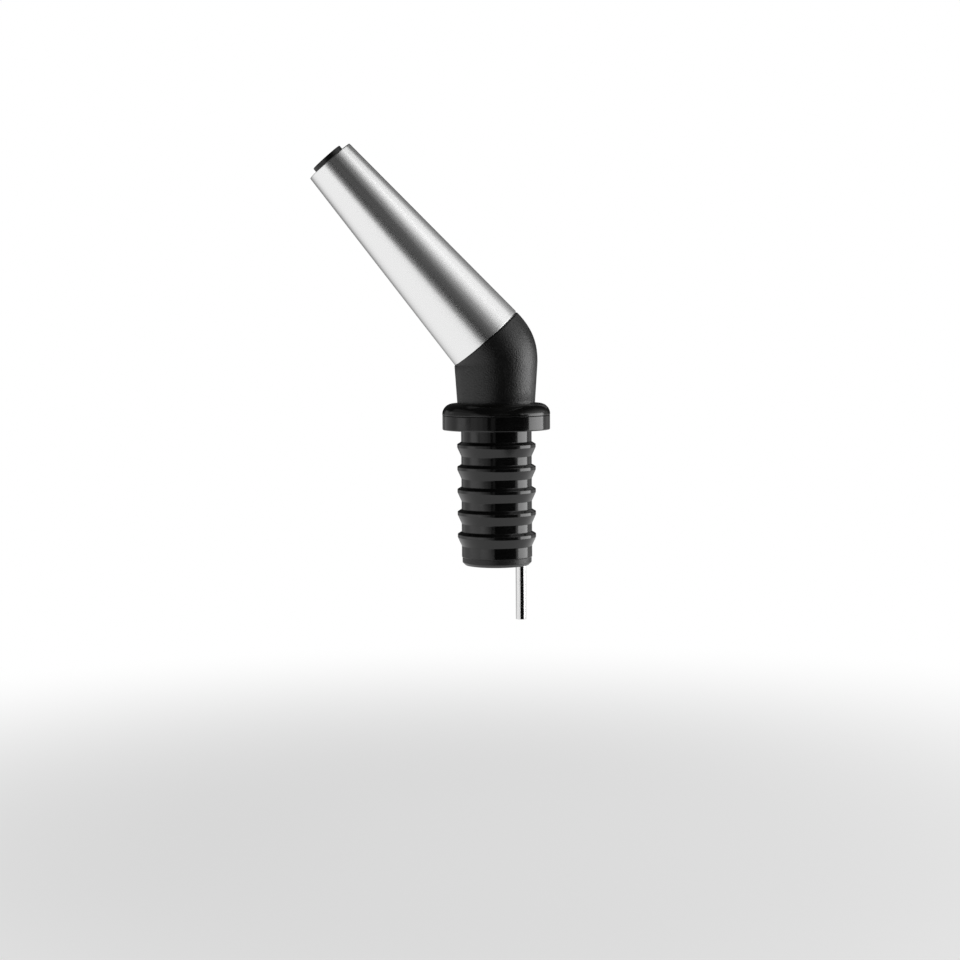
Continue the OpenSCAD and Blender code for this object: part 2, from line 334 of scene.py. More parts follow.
@dataclass(frozen=True)
class TurnedSteel(Finish):
    """Stainless steel brushed on the lathe, with fine lines that run round an axis.

    Attributes:
        origin: a point on the axis, in metres.
        lean: the axis's turn about Y, in radians.
        tone: the steel's level.
        tone_swing: how much the level varies from line to line.
        rough: the mean roughness.
        rough_swing: how much the roughness varies.
        line_pitch: spacing of the brush lines, in mm.
        line_depth: depth of the brush lines, in mm.
    """

    origin: Vector
    lean: float
    tone: float = 0.82
    tone_swing: float = 0.008
    rough: float = 0.27
    rough_swing: float = 0.04
    line_pitch: float = 0.13
    line_depth: float = 0.0012

    def material(self) -> Material:
        """Builds the material.

        Returns:
            The material.
        """
        graph, place = self.start()
        local = graph.turned_to(place, self.origin, self.lean)
        pitch = 1.0 / (self.line_pitch * MM)
        lines = graph.noise(local, (70.0, 70.0, pitch), 2.0, 0.6)
        flecks = graph.noise(local, (420.0, 420.0, pitch * 0.8), 2.0, 0.55)
        broad = graph.noise(local, (18.0, 18.0, 160.0), 1.0, 0.5)
        marks = graph.noise(local, (900.0, 900.0, pitch * 1.7), 1.0, 0.4).step(0.70, 0.80)
        level = (lines - 0.5) + (flecks - 0.5) * 1.2 + (broad - 0.5) * 0.5
        share = (level + 0.5 - marks * 0.35).clipped()
        ends = (grey(self.tone * (1.0 - self.tone_swing)), grey(self.tone * (1.0 + self.tone_swing)))
        height = lines * 0.90 + flecks * 0.10 - marks * 0.12
        return graph.finish(
            {
                "Base Color": graph.mix(share, *ends),
                "Metallic": 1.0,
                "Roughness": (level * self.rough_swing + self.rough).at_least(0.08),
                "Normal": graph.bump(height, self.line_depth * MM),
            }
        )


@dataclass(frozen=True)
class DrawnSteel(Finish):
    """A bright drawn tube, with faint lines along Z.

    Attributes:
        tone: the steel's level.
        rough: the mean roughness.
        line_pitch: spacing of the drawing lines round the tube, in mm.
        line_depth: depth of the lines, in mm.
    """

    tone: float = 0.72
    rough: float = 0.2
    line_pitch: float = 0.12
    line_depth: float = 0.002

    def material(self) -> Material:
        """Builds the material.

        Returns:
            The material.
        """
        graph, place = self.start()
        pitch = 1.0 / (self.line_pitch * MM)
        lines = graph.noise(place, (pitch, pitch, 60.0), 2.0, 0.6)
        stain = graph.noise(place, (300.0, 300.0, 120.0), 2.0, 0.5)
        share = ((lines - 0.5) * 0.8 + (stain - 0.5) * 0.8 + 0.5).clipped()
        return graph.finish(
            {
                "Base Color": graph.mix(share, grey(self.tone * 0.93), grey(self.tone * 1.05)),
                "Metallic": 1.0,
                "Roughness": ((stain - 0.5) * 0.12 + self.rough).at_least(0.06),
                "Normal": graph.bump(lines, self.line_depth * MM),
            }
        )


@dataclass(frozen=True)
class GrainedPlastic(Finish):
    """Matt plastic from a spark-eroded mould, with a fine, sharp grain.

    Attributes:
        dark: colour in the grain's hollows, darker there as painted shade.
        light: colour on its peaks, lighter there as painted light.
        rough: the mean roughness.
        rough_swing: how much the roughness varies.
        grain: size of the grain, in mm.
        depth: depth of the grain, in mm.
    """

    dark: Colour = (0.004, 0.004, 0.004)
    light: Colour = (0.012, 0.012, 0.012)
    rough: float = 0.36
    rough_swing: float = 0.14
    grain: float = 0.42
    depth: float = 0.09

    def material(self) -> Material:
        """Builds the material.

        Returns:
            The material.
        """
        graph, place = self.start()
        count = 1.0 / (self.grain * MM)
        grains = graph.noise(place, (count,) * 3, 3.0, 0.62)
        clumps = graph.noise(place, (count * 0.3,) * 3, 2.0, 0.5)
        cells = graph.node(
            "ShaderNodeTexVoronoi",
            {"feature": "SMOOTH_F1"},
            {"Vector": graph.stretched(place, (count * 1.3,) * 3), "Scale": 1.0, "Smoothness": 0.35},
        )
        height = grains * 0.6 + (1.0 - graph.value(cells, "Distance")) * 0.4
        # the grain that raises the bump also sets the colour: painted shade in its hollows and painted light
        # on its peaks, with random tone from the clumps
        share = ((grains - 0.5) * 1.6 + (clumps - 0.5) + 0.5).clipped()
        rough = (clumps - 0.5) * self.rough_swing + (0.5 - grains) * 0.12 + self.rough
        return graph.finish(
            {
                "Base Color": graph.mix(share, self.dark, self.light),
                "Roughness": rough.at_least(0.2),
                "IOR": 1.5,
                "Normal": graph.bump(height, self.depth * MM),
            }
        )


@dataclass(frozen=True)
class GlossPlastic(Finish):
    """Polished black plastic or silicone, with a faint haze of handling marks.

    Attributes:
        colour: the material's colour.
        rough: roughness where it is clean.
        haze: how much rougher the marks are.
        ior: index of refraction.
        mark_depth: depth of the marks, in mm.
    """

    colour: Colour = (0.006, 0.006, 0.0055)
    rough: float = 0.17
    haze: float = 0.06
    ior: float = 1.52
    mark_depth: float = 0.0006

    def material(self) -> Material:
        """Builds the material.

        Returns:
            The material.
        """
        graph, place = self.start()
        smears = graph.noise(place, (260.0, 260.0, 420.0), 3.0, 0.6).step(0.35, 0.75)
        lines = graph.noise(place, (900.0, 900.0, 6500.0), 1.0, 0.5)
        share = (smears * 0.7 + (lines - 0.5) * 0.5).clipped()
        lighter = tuple(c * 1.5 + 0.002 for c in self.colour)
        return graph.finish(
            {
                "Base Color": graph.mix(share, self.colour, lighter),
                "Roughness": smears * self.haze + (lines - 0.5) * 0.03 + self.rough,
                "IOR": self.ior,
                "Normal": graph.bump(smears * 0.4 + lines * 0.6, self.mark_depth * MM),
            }
        )


@dataclass(frozen=True)
class SatinPlastic(Finish):
    """Moulded plastic or rubber with a satin skin, fine pores and faint flow marks.

    Attributes:
        colour: the material's colour.
        rough: the mean roughness.
        grain: size of the pores, in mm.
        depth: depth of the pores, in mm.
        ior: index of refraction.
    """

    colour: Colour
    rough: float = 0.36
    grain: float = 0.25
    depth: float = 0.004
    ior: float = 1.48

    def material(self) -> Material:
        """Builds the material.

        Returns:
            The material.
        """
        graph, place = self.start()
        pores = graph.noise(place, (1.0 / (self.grain * MM),) * 3, 2.0, 0.6)
        flow = graph.noise(place, (140.0, 140.0, 260.0), 3.0, 0.55)
        share = ((pores - 0.5) + (flow - 0.5) * 1.4 + 0.5).clipped()
        darker = tuple(c * 0.78 for c in self.colour)
        lighter = tuple(c * 1.25 + 0.001 for c in self.colour)
        rough = (flow - 0.5) * 0.18 + (pores - 0.5) * 0.08 + self.rough
        return graph.finish(
            {
                "Base Color": graph.mix(share, darker, lighter),
                "Roughness": rough.at_least(0.15),
                "IOR": self.ior,
                "Normal": graph.bump(pores, self.depth * MM),
            }
        )


@dataclass(frozen=True)
class Corner:
    """One corner of a turned piece's outline, in mm.

    Attributes:
        r: distance from the axis.
        z: height along the axis.
        bend: radius of its rounding, 0 for a sharp corner.
        sides: how many straight sides its rounding has.
    """

    r: float
    z: float
    bend: float = 0.0
    sides: int = 4


def rounded(corners: Sequence[Corner], support: float = 0.08) -> list[Point]:
    """Turns corners into the points of a closed outline.

    A rounding is an arc, with a point beside each end, so that the flats beside it stay flat when shaded. A
    flat shorter than three times the point's distance has none.

    Args:
        corners: the outline's corners in order.
        support: distance from a rounding to the point beside it, in mm.

    Returns:
        The outline's points as (r, z), in mm.
    """
    points: list[Point] = []
    for number, corner in enumerate(corners):
        before, after = corners[number - 1], corners[(number + 1) % len(corners)]
        if corner.bend <= 0:
            points.append((corner.r, corner.z))
            continue
        here = Vector((corner.r, corner.z))
        back = Vector((before.r, before.z)) - here
        ahead = Vector((after.r, after.z)) - here
        half = back.angle(ahead) / 2
        # two roundings on one side share it, so neither takes more than 0.48 of its length
        cut = min(corner.bend / math.tan(half), 0.48 * back.length, 0.48 * ahead.length)
        radius = cut * math.tan(half)
        start, end = here + back.normalized() * cut, here + ahead.normalized() * cut
        middle = here + (back.normalized() + ahead.normalized()).normalized() * (radius / math.sin(half))
        first = start - middle
        sweep = first.angle_signed(end - middle)
        if back.length - cut > 3 * support:
            points.append(tuple(start + back.normalized() * support))
        for step in range(corner.sides + 1):
            turned = Matrix.Rotation(-sweep * step / corner.sides, 2) @ first
            points.append(tuple(middle + turned))
        if ahead.length - cut > 3 * support:
            points.append(tuple(end + ahead.normalized() * support))
    return points


def arc(middle: Point, radius: float, start: float, end: float, steps: int) -> list[Point]:
    """Points on an arc, with both its ends.

    Args:
        middle: the arc's middle as (r, z), in mm.
        radius: its radius, in mm.
        start: its first angle, in degrees from the way out of the axis.
        end: its last angle.
        steps: how many straight sides it has.

    Returns:
        The points as (r, z), in mm.
    """
    angles = [math.radians(start + (end - start) * step / steps) for step in range(steps + 1)]
    return [(middle[0] + radius * math.cos(a), middle[1] + radius * math.sin(a)) for a in angles]


class Bench:
    """Modelling steps that the pieces share, each done with Blender's own operators."""

    @staticmethod
    def clear() -> None:
        """Leaves edit mode and deselects every object."""
        if bpy.context.object and bpy.context.object.mode != "OBJECT":
            bpy.ops.object.mode_set(mode="OBJECT")
        bpy.ops.object.select_all(action="DESELECT")

    @staticmethod
    def choose(piece: Piece) -> None:
        """Makes a piece the only one selected.

        Args:
            piece: the piece.
        """
        Bench.clear()
        piece.select_set(True)
        bpy.context.view_layer.objects.active = piece

    @staticmethod
    def edit(piece: Piece, pick: Pick = Pick.VERTICES) -> None:
        """Opens a piece in edit mode with nothing selected.

        Args:
            piece: the piece.
            pick: what later steps select there.
        """
        Bench.choose(piece)
        bpy.ops.object.mode_set(mode="EDIT")
        bpy.ops.mesh.select_mode(type=pick.value)
        bpy.ops.mesh.select_all(action="DESELECT")

    @staticmethod
    def select(piece: Piece, test: Callable[[Vector], bool]) -> None:
        """Selects the vertices of the piece in edit mode whose places pass a test.

        Args:
            piece: the piece.
            test: whether a vertex at this place is selected.
        """
        mesh = bmesh.from_edit_mesh(piece.data)
        for vertex in mesh.verts:
            vertex.select = test(vertex.co)
        mesh.select_flush_mode()
        bmesh.update_edit_mesh(piece.data)

    @staticmethod
    def push(step: Sequence[float]) -> None:
        """Extrudes what is selected by a step in metres."""
        bpy.ops.mesh.extrude_region_move(TRANSFORM_OT_translate={"value": tuple(step)})

    @staticmethod
    def bake() -> None:
        """Moves the place, turn and scale of what is selected into its mesh."""
        bpy.ops.object.transform_apply(location=True, rotation=True, scale=True)

    @staticmethod
    def close(piece: Piece) -> None:
        """Merges a piece's doubled vertices and turns its faces outwards.

        Args:
            piece: the piece.
        """
        Bench.edit(piece)
        bpy.ops.mesh.select_all(action="SELECT")
        bpy.ops.mesh.remove_doubles(threshold=CLOSE)
        bpy.ops.mesh.normals_make_consistent(inside=False)
        bpy.ops.object.mode_set(mode="OBJECT")

    @staticmethod
    def smooth(piece: Piece, angle: float = 32.0) -> None:
        """Shades a piece smooth, with edges sharper than an angle in degrees kept."""
        Bench.choose(piece)
        bpy.ops.object.shade_smooth_by_angle(angle=math.radians(angle))

    @staticmethod
    def trace(name: str, outline: Sequence[Point]) -> Piece:
        """Draws a closed outline in the XZ plane, extruding one vertex from point to point.

        Args:
            name: the piece's name.
            outline: its points as (r, z), in mm.

        Returns:
            The piece, a closed wire so far.
        """
        Bench.clear()
        start = Vector((outline[0][0], 0.0, outline[0][1])) * MM
        bpy.ops.mesh.primitive_plane_add(size=MM, location=start)
        piece = bpy.context.object
        piece.name = piece.data.name = name
        Bench.bake()
        bpy.ops.object.mode_set(mode="EDIT")
        bpy.ops.mesh.select_mode(type=Pick.VERTICES.value)
        bpy.ops.mesh.select_all(action="SELECT")
        bpy.ops.mesh.merge(type="CENTER")
        for here, there in zip(outline, outline[1:]):
            Bench.push(((there[0] - here[0]) * MM, 0.0, (there[1] - here[1]) * MM))
        mesh = bmesh.from_edit_mesh(piece.data)
        mesh.verts.ensure_lookup_table()
        mesh.verts[0].select = True
        mesh.select_flush_mode()
        bmesh.update_edit_mesh(piece.data)
        bpy.ops.mesh.edge_face_add()
        bpy.ops.object.mode_set(mode="OBJECT")
        return piece

    @staticmethod
    def turned(name: str, outline: Sequence[Point], steps: int = TURN_STEPS) -> Piece:
        """A turned piece: an outline spun once round Z.

        Args:
            name: the piece's name.
            outline: its points as (r, z), in mm.
            steps: how many steps the spin has.

        Returns:
            The closed piece.
        """
        piece = Bench.trace(name, outline)
        Bench.edit(piece)
        bpy.ops.mesh.select_all(action="SELECT")
        bpy.ops.mesh.spin(steps=steps, angle=2 * math.pi, center=(0, 0, 0), axis=(0, 0, 1))
        Bench.close(piece)
        return piece

    @staticmethod
    def pin(radius: float, low: float, high: float, x: float = 0.0, sides: int = 48) -> Piece:
        """A plain pin along Z that later steps cut with, in mm.

        Args:
            radius: its radius.
            low: its lower end.
            high: its upper end.
            x: its distance from the Z axis.
            sides: how many sides it has.

        Returns:
            The pin.
        """
        Bench.clear()
        bpy.ops.mesh.primitive_cylinder_add(
            vertices=sides,
            radius=radius * MM,
            depth=(high - low) * MM,
            location=(x * MM, 0.0, (low + high) / 2 * MM),
        )
        Bench.bake()
        return bpy.context.object

    @staticmethod
    def joined(pieces: Sequence[Piece]) -> Piece:
        """Joins pieces into the first of them, with their places in its mesh.

        Args:
            pieces: the pieces.

        Returns:
            The first of them, which holds them all.
        """
        Bench.choose(pieces[0])
        for piece in pieces:
            piece.select_set(True)
        bpy.ops.object.join()
        Bench.bake()
        return pieces[0]

    @staticmethod
    def combine(piece: Piece, tool: Piece, joining: Joining) -> None:
        """Adds one closed shape to another or cuts it out of it, and removes the tool.

        Args:
            piece: the piece that is kept.
            tool: the shape that is added or cut.
            joining: what the tool does.
        """
        maker = piece.modifiers.new("shape", "BOOLEAN")
        maker.operation = joining.value
        maker.solver = "EXACT"
        maker.object = tool
        Bench.choose(piece)
        bpy.ops.object.modifier_apply(modifier=maker.name)
        bpy.data.objects.remove(tool, do_unlink=True)


@dataclass(frozen=True)
class Hoop:
    """One ring of a swept piece.

    Attributes:
        turn: how far its plane has turned about the bend's pivot, in degrees.
        x: its centre's distance from the Z axis before that turn, in mm.
        z: its centre's height along the run, in mm.
        r: its radius, in mm.
    """

    turn: float
    x: float
    z: float
    r: float


@dataclass(frozen=True)
class Layout:
    """The stopper's and the spout's axes, which meet in the bend, and the sizes that their pieces share.

    Sizes are in mm and angles in degrees. A height z is above the flange's underside, and a distance s runs
    from the seam between elbow and sleeve along the spout.
    """

    # the elbow, whose bend turns about a pivot corner_r outside it
    bend_angle: float = 41.1
    bend_z: float = 15.9
    corner_r: float = 0.2
    elbow_r: float = 10.36
    elbow_taper: float = 3.9
    spigot_len: float = 9.0
    # the steel sleeve
    sleeve_r: float = 10.17
    sleeve_len: float = 58.1
    sleeve_wall: float = 0.6
    mouth_r: float = 6.47
    # the pouring tube's root and the two channels
    tube_root_r: float = 4.53
    tube_ring_d: float = 1.0
    tube_socket_floor: float = 0.8
    wine_r: float = 3.4
    air_r: float = 1.0
    air_offset: float = 6.0
    # the flanges and the core's boss
    flange_h: float = 3.65
    flange_inset: float = 0.03
    flange_wall: float = 1.9
    boss_r: float = 8.6
    boss_h: float = 7.35
    # the collar, from its parting line up
    collar_line: float = 0.06
    collar_edge: float = 0.1
    collar_side: float = 0.1
    collar_round: float = 2.7
    collar_gap: float = 0.14
    collar_wall: float = 3.65
    # clearances
    ring_side: float = 0.1
    fit: float = 0.05
    seat: float = 0.02

    @property
    def bend_r(self) -> float:
        """Distance from the stopper's axis to the bend's pivot."""
        return self.elbow_r + self.corner_r

    @property
    def sleeve_taper(self) -> float:
        """How much the sleeve's radius falls along each mm of its length."""
        return (self.sleeve_r - self.mouth_r) / self.sleeve_len

    @property
    def collar_side_top(self) -> float:
        """The height at which the collar's side ends and its shoulder begins."""
        return self.flange_h + self.collar_line + self.collar_edge + self.collar_side

    @property
    def collar_top(self) -> float:
        """The collar's highest point."""
        return self.collar_side_top + self.collar_round

    @property
    def collar_bore_r(self) -> float:
        """The radius of the collar's bore, which clears the elbow's foot."""
        return self.foot_radius(self.collar_top) + self.collar_gap

    @property
    def collar_r(self) -> float:
        """The collar's outer radius."""
        return self.collar_bore_r + self.collar_wall

    @property
    def flange_r(self) -> float:
        """The radius of the soft flange under the collar."""
        return self.collar_r - self.flange_inset

    @property
    def core_flange_r(self) -> float:
        """The radius of the rigid flange inside the soft one."""
        return self.flange_r - self.flange_wall

    @property
    def boss_top(self) -> float:
        """The top of the core's boss, which stands in the elbow."""
        return self.flange_h + self.boss_h

    @property
    def lean(self) -> float:
        """The spout's turn about Y, in radians."""
        return -math.radians(self.bend_angle)

    @property
    def pivot(self) -> Vector:
        """The bend's pivot, in metres."""
        return Vector((-self.bend_r, 0.0, self.bend_z)) * MM

    @property
    def seam(self) -> Vector:
        """The middle of the seam between elbow and sleeve, in metres."""
        return self.pivot + Matrix.Rotation(self.lean, 3, "Y") @ Vector((self.bend_r * MM, 0.0, 0.0))

    def foot_radius(self, z: float) -> float:
        """The elbow's radius at a height below the bend."""
        return self.elbow_r - (self.bend_z - z) * math.tan(math.radians(self.elbow_taper))

    def sleeve_outer(self, s: float) -> float:
        """The sleeve's outer radius at a distance from the seam."""
        return self.sleeve_r - s * self.sleeve_taper

    def sleeve_inner(self, s: float) -> float:
        """The sleeve's inner radius at a distance from the seam."""
        return self.sleeve_outer(s) - self.sleeve_wall

    def centre(self, hoop: Hoop) -> Vector:
        """A ring's centre, in metres."""
        reach = Vector((self.bend_r + hoop.x, 0.0, hoop.z)) * MM
        return self.pivot + Matrix.Rotation(-math.radians(hoop.turn), 3, "Y") @ reach

    def stand(self, piece: Piece, run: Run) -> Piece:
        """Places a piece that was built round Z, with its place in its mesh.

        Args:
            piece: the piece.
            run: the straight run that it stands on.

        Returns:
            The same piece.
        """
        if run is Run.SPOUT:
            piece.matrix_world = Matrix.Translation(self.seam) @ Matrix.Rotation(self.lean, 4, "Y")
        Bench.choose(piece)
        Bench.bake()
        return piece

    def sweep(self, name: str, hoops: Sequence[Hoop], sides: int, capped: bool = False) -> Piece:
        """Extrudes a circle from ring to ring, turning and resizing it at each.

        Args:
            name: the piece's name.
            hoops: its rings in order.
            sides: how many sides each ring has.
            capped: whether the ends are filled.

        Returns:
            The piece, in edit mode with its last ring selected.
        """
        Bench.clear()
        first = hoops[0]
        bpy.ops.mesh.primitive_circle_add(
            vertices=sides,
            radius=first.r * MM,
            fill_type="NGON" if capped else "NOTHING",
            location=self.centre(first),
            rotation=(0.0, -math.radians(first.turn), 0.0),
        )
        piece = bpy.context.object
        piece.name = piece.data.name = name
        Bench.bake()
        bpy.ops.object.mode_set(mode="EDIT")
        bpy.ops.mesh.select_mode(type=(Pick.FACES if capped else Pick.EDGES).value)
        bpy.ops.mesh.select_all(action="SELECT")
        for here, there in zip(hoops, hoops[1:]):
            goal = self.centre(there)
            Bench.push(goal - self.centre(here))
            if there.turn != here.turn:
                turn = math.radians(there.turn - here.turn)
                bpy.ops.transform.rotate(value=turn, orient_axis="Y", center_override=goal)
            if there.r != here.r:
                bpy.ops.transform.resize(value=(there.r / here.r,) * 3, center_override=goal)
        return piece


def open_edges(piece: Piece) -> int:
    """Counts a mesh's edges that don't have exactly two faces."""
    faces = Counter(key for face in piece.data.polygons for key in face.edge_keys)
    return sum(faces[key] != 2 for key in piece.data.edge_keys)


def settle(piece: Piece, node: str, slot: Slot, finishes: Finishes) -> None:
    """Dresses a finished piece, rides it on its body and lets it stand for its CAD node.

    Args:
        piece: the finished piece.
        node: the CAD node that it stands for.
        slot: its material slot.
        finishes: the finished materials.
    """
    piece.data.materials.clear()
    piece.data.materials.append(finishes[slot])
    for face in piece.data.polygons:
        face.material_index = 0
    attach(piece, "root")
    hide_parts(node)
    low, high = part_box(node)
    places = [vertex.co for vertex in piece.data.vertices]
    off = max(
        max(abs(min(place[i] for place in places) - low[i]), abs(max(place[i] for place in places) - high[i]))
        for i in range(3)
    )
    counts = (len(piece.data.polygons), off / MM, open_edges(piece))
    LOG.info("%s: %d faces, %.3f mm off its solid's box, %d open edges", piece.name, *counts)


def dress(node: str, slot: Slot, finishes: Finishes) -> None:
    """Gives a CAD node that stays its finished material.

    Args:
        node: the node's name.
        slot: its material slot.
        finishes: the finished materials.
    """
    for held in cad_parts[node].material_slots:
        held.material = finishes[slot]
    LOG.info("%s: dressed as it is", node)


@dataclass
class Spout:
    """The tapered steel sleeve, the pouring tube in it and the parts that they hide. Sizes in mm."""

    layout: Layout
    mouth_round: float = 0.2
    mouth_rim: float = 0.9
    mouth_gap: float = 1.1
    mouth_edge: float = 0.12
    seam_gap: float = 0.06
    seam_round: float = 0.08
    seam_edge: float = 0.05
    tube_r: float = 4.3
    tube_root_edge: float = 0.15
    lip_out: float = 1.25
    lip_round: float = 0.3
    lip_bevel: float = 0.45
    lip_edge: float = 0.12
    rib_len: float = 5.5
    rib_t: float = 0.8
    rib_edge: float = 0.12
    rib_count: int = 3
    nozzle_seat: float = 0.5
    nozzle_len: float = 20.0
    throat_len: float = 3.0
    tube_stop_h: float = 1.0
    tube_stop_edge: float = 0.1
    tube_hole_r: float = 0.6
    hole_count: int = 6

    @property
    def tube_start(self) -> float:
        """The distance at which the tube begins, above the ring under its root."""
        plan = self.layout
        return plan.tube_socket_floor + plan.tube_ring_d + 2 * plan.seat

    @property
    def tube_stop(self) -> float:
        """The distance at which the tube's stop rests on the spigot."""
        return self.layout.spigot_len + self.layout.seat

    def sleeve(self) -> Piece:
        """Models the steel sleeve: a thin cone whose mouth is turned in round the tube.

        Returns:
            The finished piece.
        """
        plan = self.layout
        hole = self.tube_r + self.mouth_gap
        shoulder = plan.sleeve_len - self.mouth_rim
        corners = [
            Corner(plan.sleeve_inner(self.seam_gap), self.seam_gap, self.seam_edge, 2),
            Corner(plan.sleeve_outer(self.seam_gap), self.seam_gap, self.seam_round, 3),
            Corner(plan.mouth_r, plan.sleeve_len, self.mouth_round, 6),
            Corner(hole, plan.sleeve_len, self.mouth_edge, 3),
            Corner(hole, shoulder),
            Corner(plan.sleeve_inner(shoulder), shoulder),
        ]
        piece = Bench.turned("spout_sleeve_visual", rounded(corners))
        Bench.smooth(piece)
        return plan.stand(piece, Run.SPOUT)

    def tube(self) -> Piece:
        """Models the pouring tube with its rolled lip, its centring ribs and its air holes.

        Returns:
            The finished piece.
        """
        plan = self.layout
        end = plan.sleeve_len + self.lip_out
        bore = self.tube_r - self.nozzle_seat
        step = self.tube_start + plan.seat + self.nozzle_len + plan.seat
        stop_r = plan.air_offset - plan.air_r
        stop_top = self.tube_stop + self.tube_stop_h
        corners = [
            Corner(bore, self.tube_start),
            Corner(plan.tube_root_r, self.tube_start, self.tube_root_edge, 2),
            Corner(plan.tube_root_r, self.tube_stop),
            Corner(stop_r, self.tube_stop),
            Corner(stop_r, stop_top, self.tube_stop_edge, 2),
            Corner(self.tube_r, stop_top),
            Corner(self.tube_r, end, self.lip_round, 6),
            Corner(plan.wine_r + self.lip_bevel, end, self.lip_edge, 3),
            Corner(plan.wine_r, end - 2 * self.lip_bevel, self.lip_round, 3),
            Corner(plan.wine_r, step),
            Corner(bore, step),
        ]
        piece = Bench.turned("pour_tube_visual", rounded(corners))
        Bench.combine(piece, self._ribs(), Joining.ADD)
        Bench.combine(piece, self._hole_pins(), Joining.CUT)
        Bench.close(piece)
        Bench.smooth(piece)
        return plan.stand(piece, Run.SPOUT)

    def _ribs(self) -> Piece:
        """Models the ribs that hold the tube in the middle of the sleeve, with slanted lower ends.

        Returns:
            The ribs as one shape, round Z.
        """
        plan = self.layout
        top = plan.sleeve_len - self.mouth_rim - plan.fit
        low = top - self.rib_len
        root = self.tube_r - self.nozzle_seat / 2
        reach = plan.sleeve_inner(top) - 2 * plan.fit
        # a rib's outer vertices lie more than this far from its root, and its lower ones closer to its foot
        apart = 0.3
        Bench.clear()
        bpy.ops.mesh.primitive_cube_add(size=1.0)
        rib = bpy.context.object
        rib.scale = ((reach - root) * MM, self.rib_t * MM, self.rib_len * MM)
        rib.location = ((reach + root) / 2 * MM, 0.0, (top + low) / 2 * MM)
        Bench.bake()
        Bench.edit(rib)
        Bench.select(rib, lambda co: co.x > (root + apart) * MM and co.z < (low + apart) * MM)
        wider = plan.sleeve_inner(low) - plan.sleeve_inner(top)
        bpy.ops.transform.translate(value=(wider * MM, 0.0, self.rib_t * MM))
        Bench.edit(rib, Pick.EDGES)
        Bench.select(rib, lambda co: co.x > (root + apart) * MM)
        bpy.ops.mesh.bevel(offset=self.rib_edge * MM, segments=2, affect="EDGES")
        bpy.ops.object.mode_set(mode="OBJECT")
        ribs = [rib]
        for _ in range(1, self.rib_count):
            Bench.choose(rib)
            bpy.ops.object.duplicate(linked=False)
            ribs.append(bpy.context.object)
        for number, one in enumerate(ribs):
            one.rotation_euler.z = math.radians(90 + 360 * number / self.rib_count)
        return Bench.joined(ribs)

    def _hole_pins(self) -> Piece:
        """Models the pins that cut the tube's air holes: one pin for each pair of opposite holes.

        Returns:
            The pins as one shape, round Z.
        """
        s = self.tube_stop + self.tube_stop_h + self.tube_hole_r + self.throat_len / 2
        reach = self.tube_r + OVERCUT
        pins = []
        for number in range(self.hole_count // 2):
            pin = Bench.pin(self.tube_hole_r, -reach, reach, sides=32)
            pin.rotation_euler = (0.0, math.pi / 2, math.radians(360 * number / self.hole_count))
            pin.location.z = s * MM
            pins.append(pin)
        return Bench.joined(pins)

    def build(self, finishes: Finishes) -> None:
        """Builds and dresses the spout's pieces.

        Args:
            finishes: the finished materials, by slot.
        """
        settle(self.sleeve(), "spout_sleeve", Slot.SLEEVE, finishes)
        settle(self.tube(), "pour_tube", Slot.TUBE, finishes)
        dress("aerator_nozzle", Slot.NOZZLE, finishes)
        dress("tube_seal", Slot.SEAL, finishes)
        dress("sleeve_o_ring", Slot.SEAL, finishes)


